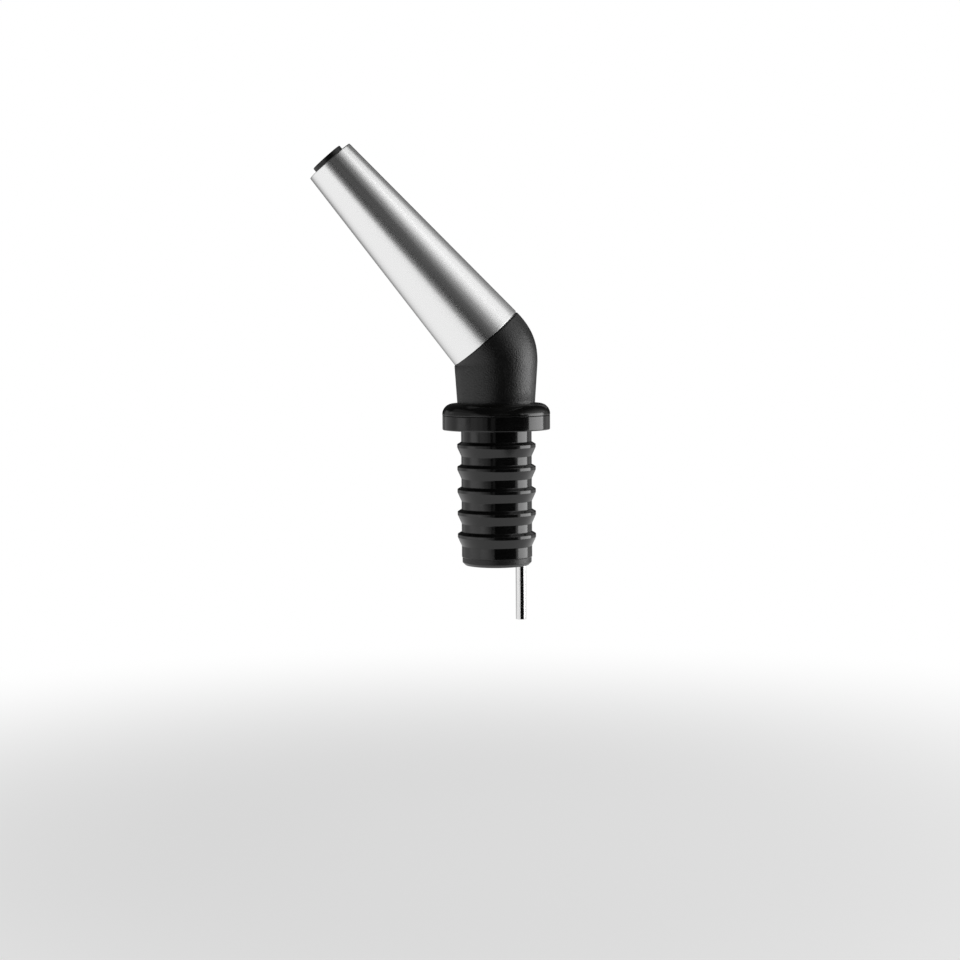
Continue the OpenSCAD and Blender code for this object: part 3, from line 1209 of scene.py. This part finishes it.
@dataclass
class Elbow:
    """The moulded elbow and the glossy collar round its foot. Sizes in mm, angles in degrees.

    The rim at the seam is rounded at the bend's back by rim_round over rim_angle, has a small bevel, given
    as (in, up), and stops seam_open short of the sleeve. That leaves a fine gap, seam_depth deep, whose floor
    lies seam_shift away from the pivot.
    """

    layout: Layout
    bend_swell: float = 0.18
    spigot_edge: float = 0.2
    rim_round: float = 0.35
    rim_angle: float = 55.0
    rim_steps: int = 5
    rim_bevel: tuple[Point, ...] = ((0.02, 0.03), (0.07, 0.05))
    seam_open: float = 0.9
    seam_depth: float = 0.45
    seam_shift: float = 0.2
    seam_step: float = 0.05
    sleeve_ring_d: float = 1.5
    sleeve_ring_share: float = 0.55
    foot_edge: float = 0.15
    boss_socket_edge: float = 0.2
    tube_socket_edge: float = 0.15
    core_step: float = 0.05
    crown_round: float = 0.5
    foot_levels: tuple[float, ...] = (6.0, 9.0, 12.0, 14.5)
    sides: int = 144
    bend_steps: int = 40
    air_sides: int = 32
    air_steps: int = 16
    collar_sides: int = 224

    @property
    def foot(self) -> float:
        """The height of the elbow's lower end."""
        return self.layout.flange_h + self.layout.seat

    @property
    def rim_share(self) -> float:
        """The share of the bend at which the rim stops, short of the seam."""
        return 1 - self.seam_open / self.layout.bend_angle

    @property
    def rim_drop(self) -> float:
        """How far the back is rounded down where it meets the seam."""
        return self.rim_round * (1 - math.cos(math.radians(self.rim_angle)))

    def back(self, t: float) -> float:
        """How far the back of the bend stands from the centre line, at a share t of the bend.

        It leaves the foot with the foot's taper, meets the sleeve with the sleeve's and swells between.

        Args:
            t: the share, from 0 at the foot to 1 at the seam.

        Returns:
            The distance, in mm.
        """
        plan = self.layout
        turn = math.radians(plan.bend_angle)
        rise = turn * (plan.bend_r + plan.elbow_r) * math.tan(math.radians(plan.elbow_taper))
        fall = turn * (plan.bend_r + plan.sleeve_r) * plan.sleeve_taper
        return (
            (2 * t**3 - 3 * t**2 + 1) * plan.elbow_r
            + (t**3 - 2 * t**2 + t) * rise
            + (3 * t**2 - 2 * t**3) * plan.sleeve_r
            - (t**3 - t**2) * fall
            + self.bend_swell * math.sin(math.pi * t) ** 2
        )

    def _shares(self) -> list[tuple[float, float]]:
        """Shares of the bend up to the seam, each with how far the back's rim is rounded down there.

        Returns:
            Each share and its drop in mm, in order.
        """
        plan = self.layout
        run = math.radians(plan.bend_angle) * (plan.bend_r + self.back(1.0))
        full = math.radians(self.rim_angle)
        start = self.rim_share - self.rim_round * math.sin(full) / run
        # a plain ring closer than this share to the rounding is left out
        spare = 0.01
        shares = [(step / self.bend_steps, 0.0) for step in range(self.bend_steps)]
        shares = [(share, drop) for share, drop in shares if share < start - spare]
        for step in range(self.rim_steps + 1):
            a = full * step / self.rim_steps
            shares.append((start + self.rim_round * math.sin(a) / run, self.rim_round * (1 - math.cos(a))))
        return shares

    def _skin(self) -> list[Hoop]:
        """The rings of the outside, from the foot to the seam.

        Returns:
            The rings in order.
        """
        plan = self.layout
        low = self.foot + self.foot_edge
        levels = [(self.foot, plan.foot_radius(self.foot) - self.foot_edge)]
        levels += [(z, plan.foot_radius(z)) for z in (low, *self.foot_levels)]
        hoops = [Hoop(0, 0, z - plan.bend_z, r) for z, r in levels]
        for t, drop in self._shares():
            near = plan.bend_r - (plan.elbow_r + (plan.sleeve_r - plan.elbow_r) * t)
            far = plan.bend_r + self.back(t) - drop
            hoops.append(Hoop(plan.bend_angle * t, (near + far) / 2 - plan.bend_r, 0, (far - near) / 2))
        return hoops

    def _spigot(self) -> list[Hoop]:
        """The rings from the rim over the spigot and its seal's groove to the floor of the tube's socket.

        Returns:
            The rings in order.
        """
        plan = self.layout
        stop = plan.bend_angle - self.seam_open
        shift = -self.rim_drop / 2
        edge = plan.sleeve_r + shift
        gap_floor = plan.sleeve_r - self.seam_depth
        rim = [Hoop(stop, shift, up, edge - inset) for inset, up in self.rim_bevel]
        rim += [Hoop(turn, self.seam_shift, self.seam_step, gap_floor) for turn in (stop, plan.bend_angle)]
        ring_s = plan.spigot_len * self.sleeve_ring_share
        side = self.sleeve_ring_d / 2 + plan.ring_side
        groove_r = plan.sleeve_inner(ring_s) - self.sleeve_ring_d - 2 * plan.seat
        socket_r = plan.tube_root_r + plan.fit
        end = plan.spigot_len
        rows = [
            (self.seam_step, self._spigot_r(self.seam_step)),
            (ring_s - side, self._spigot_r(ring_s - side)),
            (ring_s - side, groove_r),
            (ring_s + side, groove_r),
            (ring_s + side, self._spigot_r(ring_s + side)),
            (end - self.spigot_edge, self._spigot_r(end)),
            (end, self._spigot_r(end) - self.spigot_edge),
            (end, socket_r + self.tube_socket_edge),
            (end - self.tube_socket_edge, socket_r),
            (plan.tube_socket_floor, socket_r),
            (plan.tube_socket_floor, plan.wine_r + self.core_step),
            (0.0, plan.wine_r + self.core_step),
        ]
        return rim + [Hoop(plan.bend_angle, 0, s, r) for s, r in rows]

    def _spigot_r(self, s: float) -> float:
        """The spigot's radius, which leaves the sleeve its clearance."""
        return self.layout.sleeve_inner(s) - 2 * self.layout.fit

    def _bore(self) -> list[Hoop]:
        """The rings of the wine channel and the boss's socket, back down to the foot.

        Returns:
            The rings in order.
        """
        plan = self.layout
        shares = [step / self.bend_steps for step in range(self.bend_steps, -1, -1)]
        wide = plan.wine_r + self.core_step
        socket_r = plan.boss_r + plan.fit
        socket_top = plan.boss_top + plan.fit
        rows = [
            (plan.bend_z, wide),
            (socket_top, wide),
            (socket_top, socket_r),
            (self.foot + self.boss_socket_edge, socket_r),
            (self.foot, socket_r + self.boss_socket_edge),
        ]
        bend = [Hoop(plan.bend_angle * share, 0, 0, plan.wine_r) for share in shares]
        return bend + [Hoop(0, 0, z - plan.bend_z, r) for z, r in rows]

    def _air_core(self) -> Piece:
        """Models the bent core that leaves the air channel, wider in the straight runs at its ends.

        Returns:
            The closed core.
        """
        plan = self.layout
        wide = plan.air_r + self.core_step
        socket_top = plan.boss_top + plan.fit
        angle, x = plan.bend_angle, plan.air_offset
        # the bend begins and ends this far outside its own arc
        lap = 0.02
        hoops = [
            Hoop(0, x, socket_top - OVERCUT - plan.bend_z, wide),
            Hoop(0, x, lap, wide),
            Hoop(0, x, lap, plan.air_r),
        ]
        hoops += [Hoop(angle * step / self.air_steps, x, 0, plan.air_r) for step in range(1, self.air_steps)]
        hoops += [
            Hoop(angle, x, -lap, plan.air_r),
            Hoop(angle, x, -lap, wide),
            Hoop(angle, x, plan.spigot_len + OVERCUT, wide),
        ]
        core = plan.sweep("air_core", hoops, self.air_sides, capped=True)
        Bench.close(core)
        return core

    def moulding(self) -> Piece:
        """Models the elbow: one skin swept up the outside, over the spigot and back down the channel.

        Returns:
            The finished piece.
        """
        hoops = self._skin() + self._spigot() + self._bore()
        piece = self.layout.sweep("elbow_visual", hoops, self.sides)
        # both open rings are at the foot: a bridge closes it
        bpy.ops.mesh.select_all(action="DESELECT")
        bpy.ops.mesh.select_non_manifold(
            extend=False, use_wire=False, use_multi_face=False, use_non_contiguous=False, use_verts=False
        )
        bpy.ops.mesh.bridge_edge_loops()
        Bench.close(piece)
        Bench.combine(piece, self._air_core(), Joining.CUT)
        Bench.close(piece)
        Bench.smooth(piece, 30.0)
        return piece

    def collar(self) -> Piece:
        """Models the collar, a ring with a rounded shoulder that hugs the elbow's foot.

        Returns:
            The finished piece.
        """
        plan = self.layout
        under = plan.flange_h + plan.seat
        base = plan.flange_h + plan.collar_line
        corners = [
            Corner(plan.collar_bore_r, under),
            Corner(plan.core_flange_r, under),
            Corner(plan.core_flange_r, base),
            Corner(plan.collar_r, base, plan.collar_edge, 5),
            Corner(plan.collar_r, plan.collar_side_top),
        ]
        shoulder = (plan.collar_r - plan.collar_round, plan.collar_side_top)
        crown = (plan.collar_bore_r + self.crown_round, plan.collar_top - self.crown_round)
        # the shoulder's arc begins at the last corner, so the corner itself is left out
        outline = rounded(corners)[:-1]
        outline += arc(shoulder, plan.collar_round, 0.0, 90.0, 16)
        outline += arc(crown, self.crown_round, 90.0, 180.0, 8)
        piece = Bench.turned("collar_visual", outline, self.collar_sides)
        Bench.smooth(piece, 35.0)
        return piece

    def build(self, finishes: Finishes) -> None:
        """Builds and dresses the elbow's pieces.

        Args:
            finishes: the finished materials, by slot.
        """
        settle(self.moulding(), "elbow", Slot.ELBOW, finishes)
        settle(self.collar(), "collar", Slot.COLLAR, finishes)
        dress("core_o_ring", Slot.SEAL, finishes)


@dataclass
class Stopper:
    """The finned plug, the rigid core in it and the air tube. Sizes in mm."""

    layout: Layout
    flange_round: float = 0.3
    flange_edge: float = 0.12
    pocket_edge: float = 0.08
    plug_len: float = 32.0
    plug_wall: float = 0.8
    plug_edge: float = 0.15
    plug_foot_edge: float = 0.1
    fin_r: float = 9.85
    fin_count: int = 5
    fin_land: float = 0.8
    fin_lead: float = 2.2
    fin_first: float = 3.0
    fin_top: float = 0.6
    fin_round: float = 0.16
    fin_top_round: float = 0.2
    fin_root_round: float = 0.25
    core_r: float = 8.0
    core_tail: float = 2.0
    core_rim: float = 0.7
    core_rim_edge: float = 0.15
    core_edge: float = 0.1
    core_flange_h: float = 1.9
    core_ring_d: float = 1.0
    boss_edge: float = 0.2
    inlet_depth: float = 1.5
    inlet_edge: float = 0.12
    inlet_round: float = 0.2
    air_tube_r: float = 1.3
    air_tube_wall: float = 0.3
    air_tube_drop: float = 14.0
    air_tube_grip: float = 8.0
    air_tube_edge: float = 0.08
    air_bore_edge: float = 0.06
    air_tube_sides: int = 64

    @property
    def bottom(self) -> float:
        """The core's lower end."""
        return -self.plug_len - self.core_tail

    @property
    def flange_under(self) -> float:
        """The underside of the core's flange."""
        return self.layout.flange_h - self.core_flange_h

    def plug(self) -> Piece:
        """Models the soft plug: a thin wall with five fins, under a flange that wraps the core's.

        Returns:
            The finished piece.
        """
        plan = self.layout
        inner = self.core_r + plan.fit
        pocket = plan.core_flange_r + plan.fit
        floor = self.flange_under - plan.seat
        wall = inner + self.plug_wall
        pitch = (self.plug_len - self.fin_first - self.fin_land) / self.fin_count
        corners = [
            Corner(inner, floor, self.plug_edge, 2),
            Corner(inner, -self.plug_len, self.plug_foot_edge, 2),
            Corner(wall, -self.plug_len, self.plug_edge, 3),
        ]
        for number in reversed(range(self.fin_count)):
            root = -self.fin_first - number * pitch
            top = root - self.fin_top
            low = top - self.fin_land
            corners += [
                Corner(wall, low - self.fin_lead, self.fin_root_round, 3),
                Corner(self.fin_r, low, self.fin_round, 3),
                Corner(self.fin_r, top, self.fin_round, 3),
                Corner(wall, root, self.fin_top_round, 3),
            ]
        corners += [
            Corner(wall, 0.0, self.fin_root_round, 3),
            Corner(plan.flange_r, 0.0, self.flange_round, 5),
            Corner(plan.flange_r, plan.flange_h, self.flange_edge, 4),
            Corner(pocket, plan.flange_h, self.pocket_edge, 2),
            Corner(pocket, floor),
        ]
        piece = Bench.turned("neck_plug_visual", rounded(corners))
        Bench.smooth(piece, 35.0)
        return piece

    def core(self) -> Piece:
        """Models the rigid core: rim, shank, flange and boss, with its wine and air channels.

        Returns:
            The finished piece.
        """
        plan = self.layout
        top = plan.boss_top
        rim = self.core_r + self.core_rim
        ring_z = plan.flange_h + plan.boss_h / 2
        side = self.core_ring_d / 2 + plan.ring_side
        groove_r = plan.boss_r + plan.fit - self.core_ring_d - 2 * plan.seat
        corners = [
            Corner(plan.wine_r + self.inlet_depth / 2, self.bottom, self.inlet_edge, 2),
            Corner(self.core_r, self.bottom, self.core_edge, 2),
            Corner(rim, self.bottom + self.core_rim, self.core_rim_edge, 3),
            Corner(rim, -self.plug_len - plan.seat),
            Corner(self.core_r, -self.plug_len - plan.seat),
            Corner(self.core_r, self.flange_under),
            Corner(plan.core_flange_r, self.flange_under, self.core_edge, 2),
            Corner(plan.core_flange_r, plan.flange_h, self.core_edge, 2),
            Corner(plan.boss_r, plan.flange_h),
            Corner(plan.boss_r, ring_z - side),
            Corner(groove_r, ring_z - side),
            Corner(groove_r, ring_z + side),
            Corner(plan.boss_r, ring_z + side),
            Corner(plan.boss_r, top, self.boss_edge, 3),
            Corner(plan.wine_r, top, self.core_edge, 2),
            Corner(plan.wine_r, self.bottom + self.inlet_depth, self.inlet_round, 2),
        ]
        piece = Bench.turned("stopper_core_visual", rounded(corners))
        low, x = self.bottom - OVERCUT, plan.air_offset
        socket_top = self.bottom + self.air_tube_grip
        Bench.combine(piece, Bench.pin(plan.air_r, low, top + OVERCUT, x), Joining.CUT)
        Bench.combine(piece, Bench.pin(self.air_tube_r + plan.seat, low, socket_top, x), Joining.CUT)
        Bench.close(piece)
        Bench.smooth(piece)
        return piece

    def air_tube(self) -> Piece:
        """Models the thin steel tube under the core, which leads air in.

        Returns:
            The finished piece.
        """
        plan = self.layout
        low = self.bottom - self.air_tube_drop
        high = self.bottom + self.air_tube_grip - plan.seat
        bore = self.air_tube_r - self.air_tube_wall
        corners = [
            Corner(bore, low, self.air_bore_edge, 2),
            Corner(self.air_tube_r, low, self.air_tube_edge, 3),
            Corner(self.air_tube_r, high, self.air_tube_edge, 3),
            Corner(bore, high, self.air_bore_edge, 2),
        ]
        piece = Bench.turned("air_tube_visual", rounded(corners), self.air_tube_sides)
        piece.location.x = plan.air_offset * MM
        plan.stand(piece, Run.STOPPER)
        Bench.smooth(piece)
        return piece

    def build(self, finishes: Finishes) -> None:
        """Builds and dresses the stopper's pieces.

        Args:
            finishes: the finished materials, by slot.
        """
        settle(self.plug(), "neck_plug", Slot.PLUG, finishes)
        settle(self.core(), "stopper_core", Slot.CORE, finishes)
        settle(self.air_tube(), "air_tube", Slot.AIR_TUBE, finishes)


def towards(azimuth: float, elevation: float) -> Vector:
    """The direction at an azimuth from the camera's side and an elevation, both in degrees."""
    a, e = math.radians(azimuth), math.radians(elevation)
    return Vector((math.sin(a) * math.cos(e), -math.cos(a) * math.cos(e), math.sin(e)))


@dataclass(frozen=True)
class Softbox:
    """A lamp panel, placed by the part of the room that it fills as seen from the pourer's middle.

    Attributes:
        name: the lamp's name.
        azimuths: degrees from the camera's side towards the photo's right, where it begins and ends.
        elevations: degrees above the pourer's middle, where it begins and ends.
        distance: metres from it.
        radiance: how bright the panel looks, where 1 is white.
    """

    name: str
    azimuths: tuple[float, float]
    elevations: tuple[float, float]
    distance: float
    radiance: float

    @property
    def ray(self) -> Vector:
        """The direction of the panel's middle."""
        return towards(sum(self.azimuths) / 2, sum(self.elevations) / 2)

    @property
    def height(self) -> float:
        """How tall the panel is, in metres."""
        low, high = self.elevations
        return 2 * self.distance * math.tan(math.radians(high - low) / 2)

    @property
    def width(self) -> float:
        """How wide the panel is, in metres.

        Returns:
            The width at the height of its middle.
        """
        first, last = self.azimuths
        reach = self.distance * math.cos(math.radians(sum(self.elevations) / 2))
        return 2 * reach * math.tan(math.radians(last - first) / 2)


@dataclass
class Studio:
    """The pale floor, the soft lamps, the dark cards that shape the reflections, and the camera.

    Attributes:
        yaw: the camera's turn round the pourer, in degrees.
        pitch: how far it looks down, in degrees.
        roll: how far it tilts, in degrees.
        focal_px: its focal length in pixels of the photo.
        photo_px: the photo's width and height in pixels.
        mm_per_px: the photo's scale at the neck.
        anchor_px: the pixel at which the stopper's axis is seen at the height anchor_z.
        anchor_z: that height, in mm.
        floor_z: height of the floor, in metres.
        floor_front: how far towards the camera it reaches, in metres along Y.
        floor_size: its width and depth, in metres.
        floor_paint: the level of its paint.
        reflected_floor: how bright reflections see it.
        back_loss: how much darker reflections see it behind the pourer.
        back_reach: metres behind the pourer where that begins and is full.
        shadow_white: the share of plain white that the camera sees under the pourer.
        shadow_reach: metres from the pourer where that share begins to grow and is whole.
        world_level: the level of the room where the camera doesn't look.
        middle: the pourer's middle, in metres, which the lamps and the front card face.
        front_at: azimuth and elevation of the front card, in degrees.
        front_reach: metres from the middle to the front card.
        front_size: its width and height, in metres.
        visor_azimuth: direction of the visor card from the stopper's axis, in degrees.
        visor_reach: where the visor begins and ends along it, in mm from the axis.
        visor_width: the visor's width, in mm.
        visor_z: its height, in mm.
        visor_glow: how bright its inner, dimmer part is and its outer part.
        boxes: the lamp panels.
    """

    yaw: float = 5.7
    pitch: float = 4.4
    roll: float = -0.4
    focal_px: float = 2000.0
    photo_px: float = 960.0
    mm_per_px: float = 0.2506
    anchor_px: tuple[float, float] = (496.3, 431.5)
    anchor_z: float = -0.5
    floor_z: float = -0.105
    floor_front: float = -0.62
    floor_size: tuple[float, float] = (8.0, 5.0)
    floor_paint: float = 0.82
    reflected_floor: float = 1.06
    back_loss: float = 0.75
    back_reach: tuple[float, float] = (0.02, 0.55)
    shadow_white: float = 0.6
    shadow_reach: tuple[float, float] = (0.12, 0.34)
    world_level: float = 0.032
    middle: tuple[float, float, float] = (-0.012, 0.0, 0.03)
    front_at: tuple[float, float] = (25.0, -38.0)
    front_reach: float = 0.16
    front_size: tuple[float, float] = (0.20, 0.24)
    visor_azimuth: float = 48.0
    visor_reach: tuple[float, float] = (11.8, 21.0)
    visor_width: float = 25.0
    visor_z: float = 6.85
    visor_glow: tuple[float, float] = (0.03, 0.68)
    boxes: tuple[Softbox, ...] = (
        Softbox("right_strip", (67.5, 111.5), (-14, 8), 0.55, 3.9),
        Softbox("right_back", (112, 136), (-14, 8), 0.55, 0.22),
        Softbox("right_mid", (48, 113), (8, 26), 0.50, 2.15),
        Softbox("key_1", (18, 33), (10, 36), 0.50, 0.22),
        Softbox("key_2", (33, 46), (16, 46), 0.50, 0.62),
        Softbox("key_3", (46, 59), (22, 52), 0.50, 0.92),
        Softbox("key_4", (59, 75), (28, 56), 0.50, 1.12),
        Softbox("key_5", (75, 112), (29, 58), 0.50, 1.02),
        Softbox("key_6", (112, 124), (26, 52), 0.50, 0.58),
        Softbox("key_7", (124, 137), (26, 46), 0.50, 0.38),
        Softbox("key_8", (137, 160), (10, 38), 0.50, 0.20),
        Softbox("front_fill", (-10, 22), (4, 22), 0.55, 0.06),
        Softbox("front_low", (-16, 6), (-12, -2), 0.55, 0.14),
        Softbox("left_1", (-34, -24), (-16, 8), 0.60, 0.26),
        Softbox("left_2", (-46, -34), (-16, 8), 0.60, 0.42),
        Softbox("left_3", (-60, -46), (-16, 8), 0.60, 0.52),
        Softbox("left_4", (-115, -60), (-16, 8), 0.60, 0.31),
        Softbox("left_back", (-150, -115), (-14, 14), 0.60, 0.33),
        Softbox("left_mid", (-125, -45), (8, 24), 0.60, 0.30),
        Softbox("left_high", (-125, -60), (24, 42), 0.60, 0.15),
    )

    def camera(self) -> None:
        """Sets the camera at the photo's viewing angle."""
        turn = Matrix.Rotation(math.radians(self.yaw), 3, "Z")
        tip = Matrix.Rotation(math.radians(self.pitch), 3, "X")
        tilt = Matrix.Rotation(math.radians(self.roll), 3, "Z")
        # the picture's right, down and depth, for a camera that looks along +Y
        level = Matrix(((1, 0, 0), (0, 0, -1), (0, 1, 0)))
        view = tilt @ tip @ level @ turn
        depth = self.focal_px * self.mm_per_px * MM
        right, down = ((px - self.photo_px / 2) / self.focal_px * depth for px in self.anchor_px)
        shift = Vector((right, down, depth)) - view @ Vector((0.0, 0.0, self.anchor_z * MM))
        place = -(view.transposed() @ shift)
        axes = Matrix((view[0], -view[1], -view[2])).transposed()
        data = bpy.data.cameras.new("photo_camera")
        data.sensor_width = 36.0
        data.lens = self.focal_px / self.photo_px * data.sensor_width
        data.clip_start = 0.01
        camera = bpy.data.objects.new("photo_camera", data)
        camera.matrix_world = Matrix.Translation(place) @ axes.to_4x4()
        bpy.context.scene.collection.objects.link(camera)
        bpy.context.scene.camera = camera

    def lamp(self, box: Softbox) -> None:
        """Hangs one lamp panel, unseen by the camera.

        Args:
            box: the panel.
        """
        data = bpy.data.lights.new(box.name, "AREA")
        data.shape = "RECTANGLE"
        data.size, data.size_y = box.width, box.height
        data.energy = box.radiance * math.pi * box.width * box.height
        lamp = bpy.data.objects.new(box.name, data)
        lamp.location = Vector(self.middle) + box.ray * box.distance
        lamp.rotation_euler = box.ray.to_track_quat("Z", "Y").to_euler()
        lamp.visible_camera = False
        bpy.context.scene.collection.objects.link(lamp)

    def card(
        self,
        name: str,
        place: Vector,
        facing: Vector,
        size: tuple[float, float],
        glow: Val | None = None,
    ) -> Piece:
        """Hangs a black card that only reflections see.

        Args:
            name: the card's name.
            place: its middle, in metres.
            facing: its normal.
            size: its width and height, in metres.
            glow: the colour that it gives off, if it does.

        Returns:
            The card.
        """
        Bench.clear()
        turn = facing.to_track_quat("Z", "Y").to_euler()
        bpy.ops.mesh.primitive_plane_add(size=1.0, location=place, rotation=turn)
        card = bpy.context.object
        card.name = name
        card.scale = (*size, 1.0)
        inputs = {"Base Color": (0.0, 0.0, 0.0, 1.0), "Roughness": 1.0, "Specular IOR Level": 0.0}
        if glow:
            inputs |= {"Emission Color": glow, "Emission Strength": 1.0}
        graph = glow.graph if glow else Graph(bpy.data.materials.new(name))
        card.data.materials.append(graph.finish(inputs))
        card.visible_camera = card.visible_diffuse = card.visible_transmission = card.visible_shadow = False
        return card

    def front_card(self) -> None:
        """Hangs the card that darkens the collar's and the sleeve's view of the floor in front."""
        ray = towards(*self.front_at)
        self.card("front_card", Vector(self.middle) + ray * self.front_reach, ray, self.front_size)

    def visor(self) -> None:
        """Lays a dim card over the collar's right side, which keeps the high lamps out of its shoulder."""
        graph = Graph(bpy.data.materials.new("visor_glow"))
        across = graph.node("ShaderNodeSeparateXYZ", None, {0: graph.object_place()})
        # the glow fades towards the axis and towards one side, in shares of the card's length and width
        share = graph.value(across, "X").step(-0.40, 0.10) * graph.value(across, "Y").step(-0.30, 0.12)
        dim, bright = self.visor_glow
        glow = graph.mix(share, grey(dim), grey(bright))
        out = towards(self.visor_azimuth, 0.0)
        near, far = self.visor_reach
        middle = out * ((near + far) / 2 * MM)
        middle.z = self.visor_z * MM
        size = ((far - near) * MM, self.visor_width * MM)
        card = self.card("collar_visor", middle, Vector((0.0, 0.0, 1.0)), size, glow)
        card.rotation_euler.z = math.atan2(out.y, out.x)
        card.visible_shadow = True

    def pale_floor(self) -> Material:
        """The floor's paint, which the camera and reflections see as white but for the pourer's shadow.

        Returns:
            The material.
        """
        graph = Graph(bpy.data.materials.new("pale_floor"))
        ray = graph.node("ShaderNodeLightPath")
        mirrored = graph.value(ray, "Is Glossy Ray") + graph.value(ray, "Is Transmission Ray")
        place = graph.object_place()
        away = graph.value(graph.node("ShaderNodeVectorMath", {"operation": "LENGTH"}, {0: place}), "Value")
        behind = graph.value(graph.node("ShaderNodeSeparateXYZ", None, {0: place}), "Y")
        fading = graph.mix(behind.step(*self.back_reach), grey(1.0), grey(1.0 - self.back_loss))
        paint = graph.shader("ShaderNodeBsdfDiffuse", {"Color": (*grey(self.floor_paint), 1.0)})
        white = graph.shader("ShaderNodeEmission", {"Color": (*grey(1.0), 1.0), "Strength": 1.0})
        bright = graph.shader("ShaderNodeEmission", {"Color": fading, "Strength": self.reflected_floor})
        whiteness = away.step(*self.shadow_reach) * (1.0 - self.shadow_white) + self.shadow_white
        for_camera = graph.either(whiteness, paint, white)
        for_mirror = graph.either(mirrored.at_most(1.0), paint, bright)
        return graph.end(graph.either(graph.value(ray, "Is Camera Ray"), for_mirror, for_camera))

    def floor(self) -> None:
        """Lays the pale floor."""
        Bench.clear()
        bpy.ops.mesh.primitive_plane_add(size=1.0)
        floor = bpy.context.object
        floor.name = "floor"
        floor.scale = (*self.floor_size, 1.0)
        floor.location = (0.0, self.floor_front + self.floor_size[1] / 2, self.floor_z)
        Bench.bake()
        floor.data.materials.append(self.pale_floor())

    def world(self) -> None:
        """Makes the room: white where the camera looks past the floor, dim elsewhere."""
        graph = Graph(bpy.data.worlds.new("room"))
        dim = graph.shader("ShaderNodeBackground", {"Color": (*grey(self.world_level), 1.0)})
        white = graph.shader("ShaderNodeBackground", {"Color": (*grey(1.0), 1.0)})
        seen = graph.value(graph.node("ShaderNodeLightPath"), "Is Camera Ray")
        bpy.context.scene.world = graph.end(graph.either(seen, dim, white), "ShaderNodeOutputWorld")

    def build(self) -> None:
        """Sets up the whole studio."""
        self.camera()
        self.floor()
        self.world()
        for box in self.boxes:
            self.lamp(box)
        self.front_card()
        self.visor()
        bpy.context.scene.view_settings.view_transform = "Standard"
        LOG.info("studio: camera, floor and %d lamps", len(self.boxes))


def finish_all(layout: Layout) -> dict[Slot, Material]:
    """Builds every finish once.

    Args:
        layout: the pourer's axes, which the turned steel follows.

    Returns:
        The material of each slot.
    """
    choices = [
        TurnedSteel(Slot.SLEEVE, layout.seam, layout.lean),
        GrainedPlastic(Slot.ELBOW),
        GlossPlastic(Slot.COLLAR),
        GlossPlastic(Slot.PLUG, (0.006, 0.006, 0.006), rough=0.10, haze=0.05, ior=1.46),
        SatinPlastic(Slot.CORE, (0.028, 0.028, 0.028)),
        SatinPlastic(Slot.TUBE, (0.008, 0.008, 0.008), rough=0.30, ior=1.43),
        SatinPlastic(Slot.NOZZLE, (0.10, 0.10, 0.105)),
        DrawnSteel(Slot.AIR_TUBE),
        SatinPlastic(Slot.SEAL, (0.024, 0.024, 0.024), rough=0.5, grain=0.15, ior=1.45),
    ]
    return {choice.slot: choice.material() for choice in choices}


def main() -> None:
    """Builds the pourer from its stopper to its spout, and the studio round it."""
    layout = Layout()
    finishes = finish_all(layout)
    for part in (Stopper(layout), Elbow(layout), Spout(layout)):
        part.build(finishes)
    Studio().build()
    Bench.clear()


if __name__ == "__main__":
    logging.basicConfig(level=logging.INFO, format="%(name)s: %(message)s")
    main()
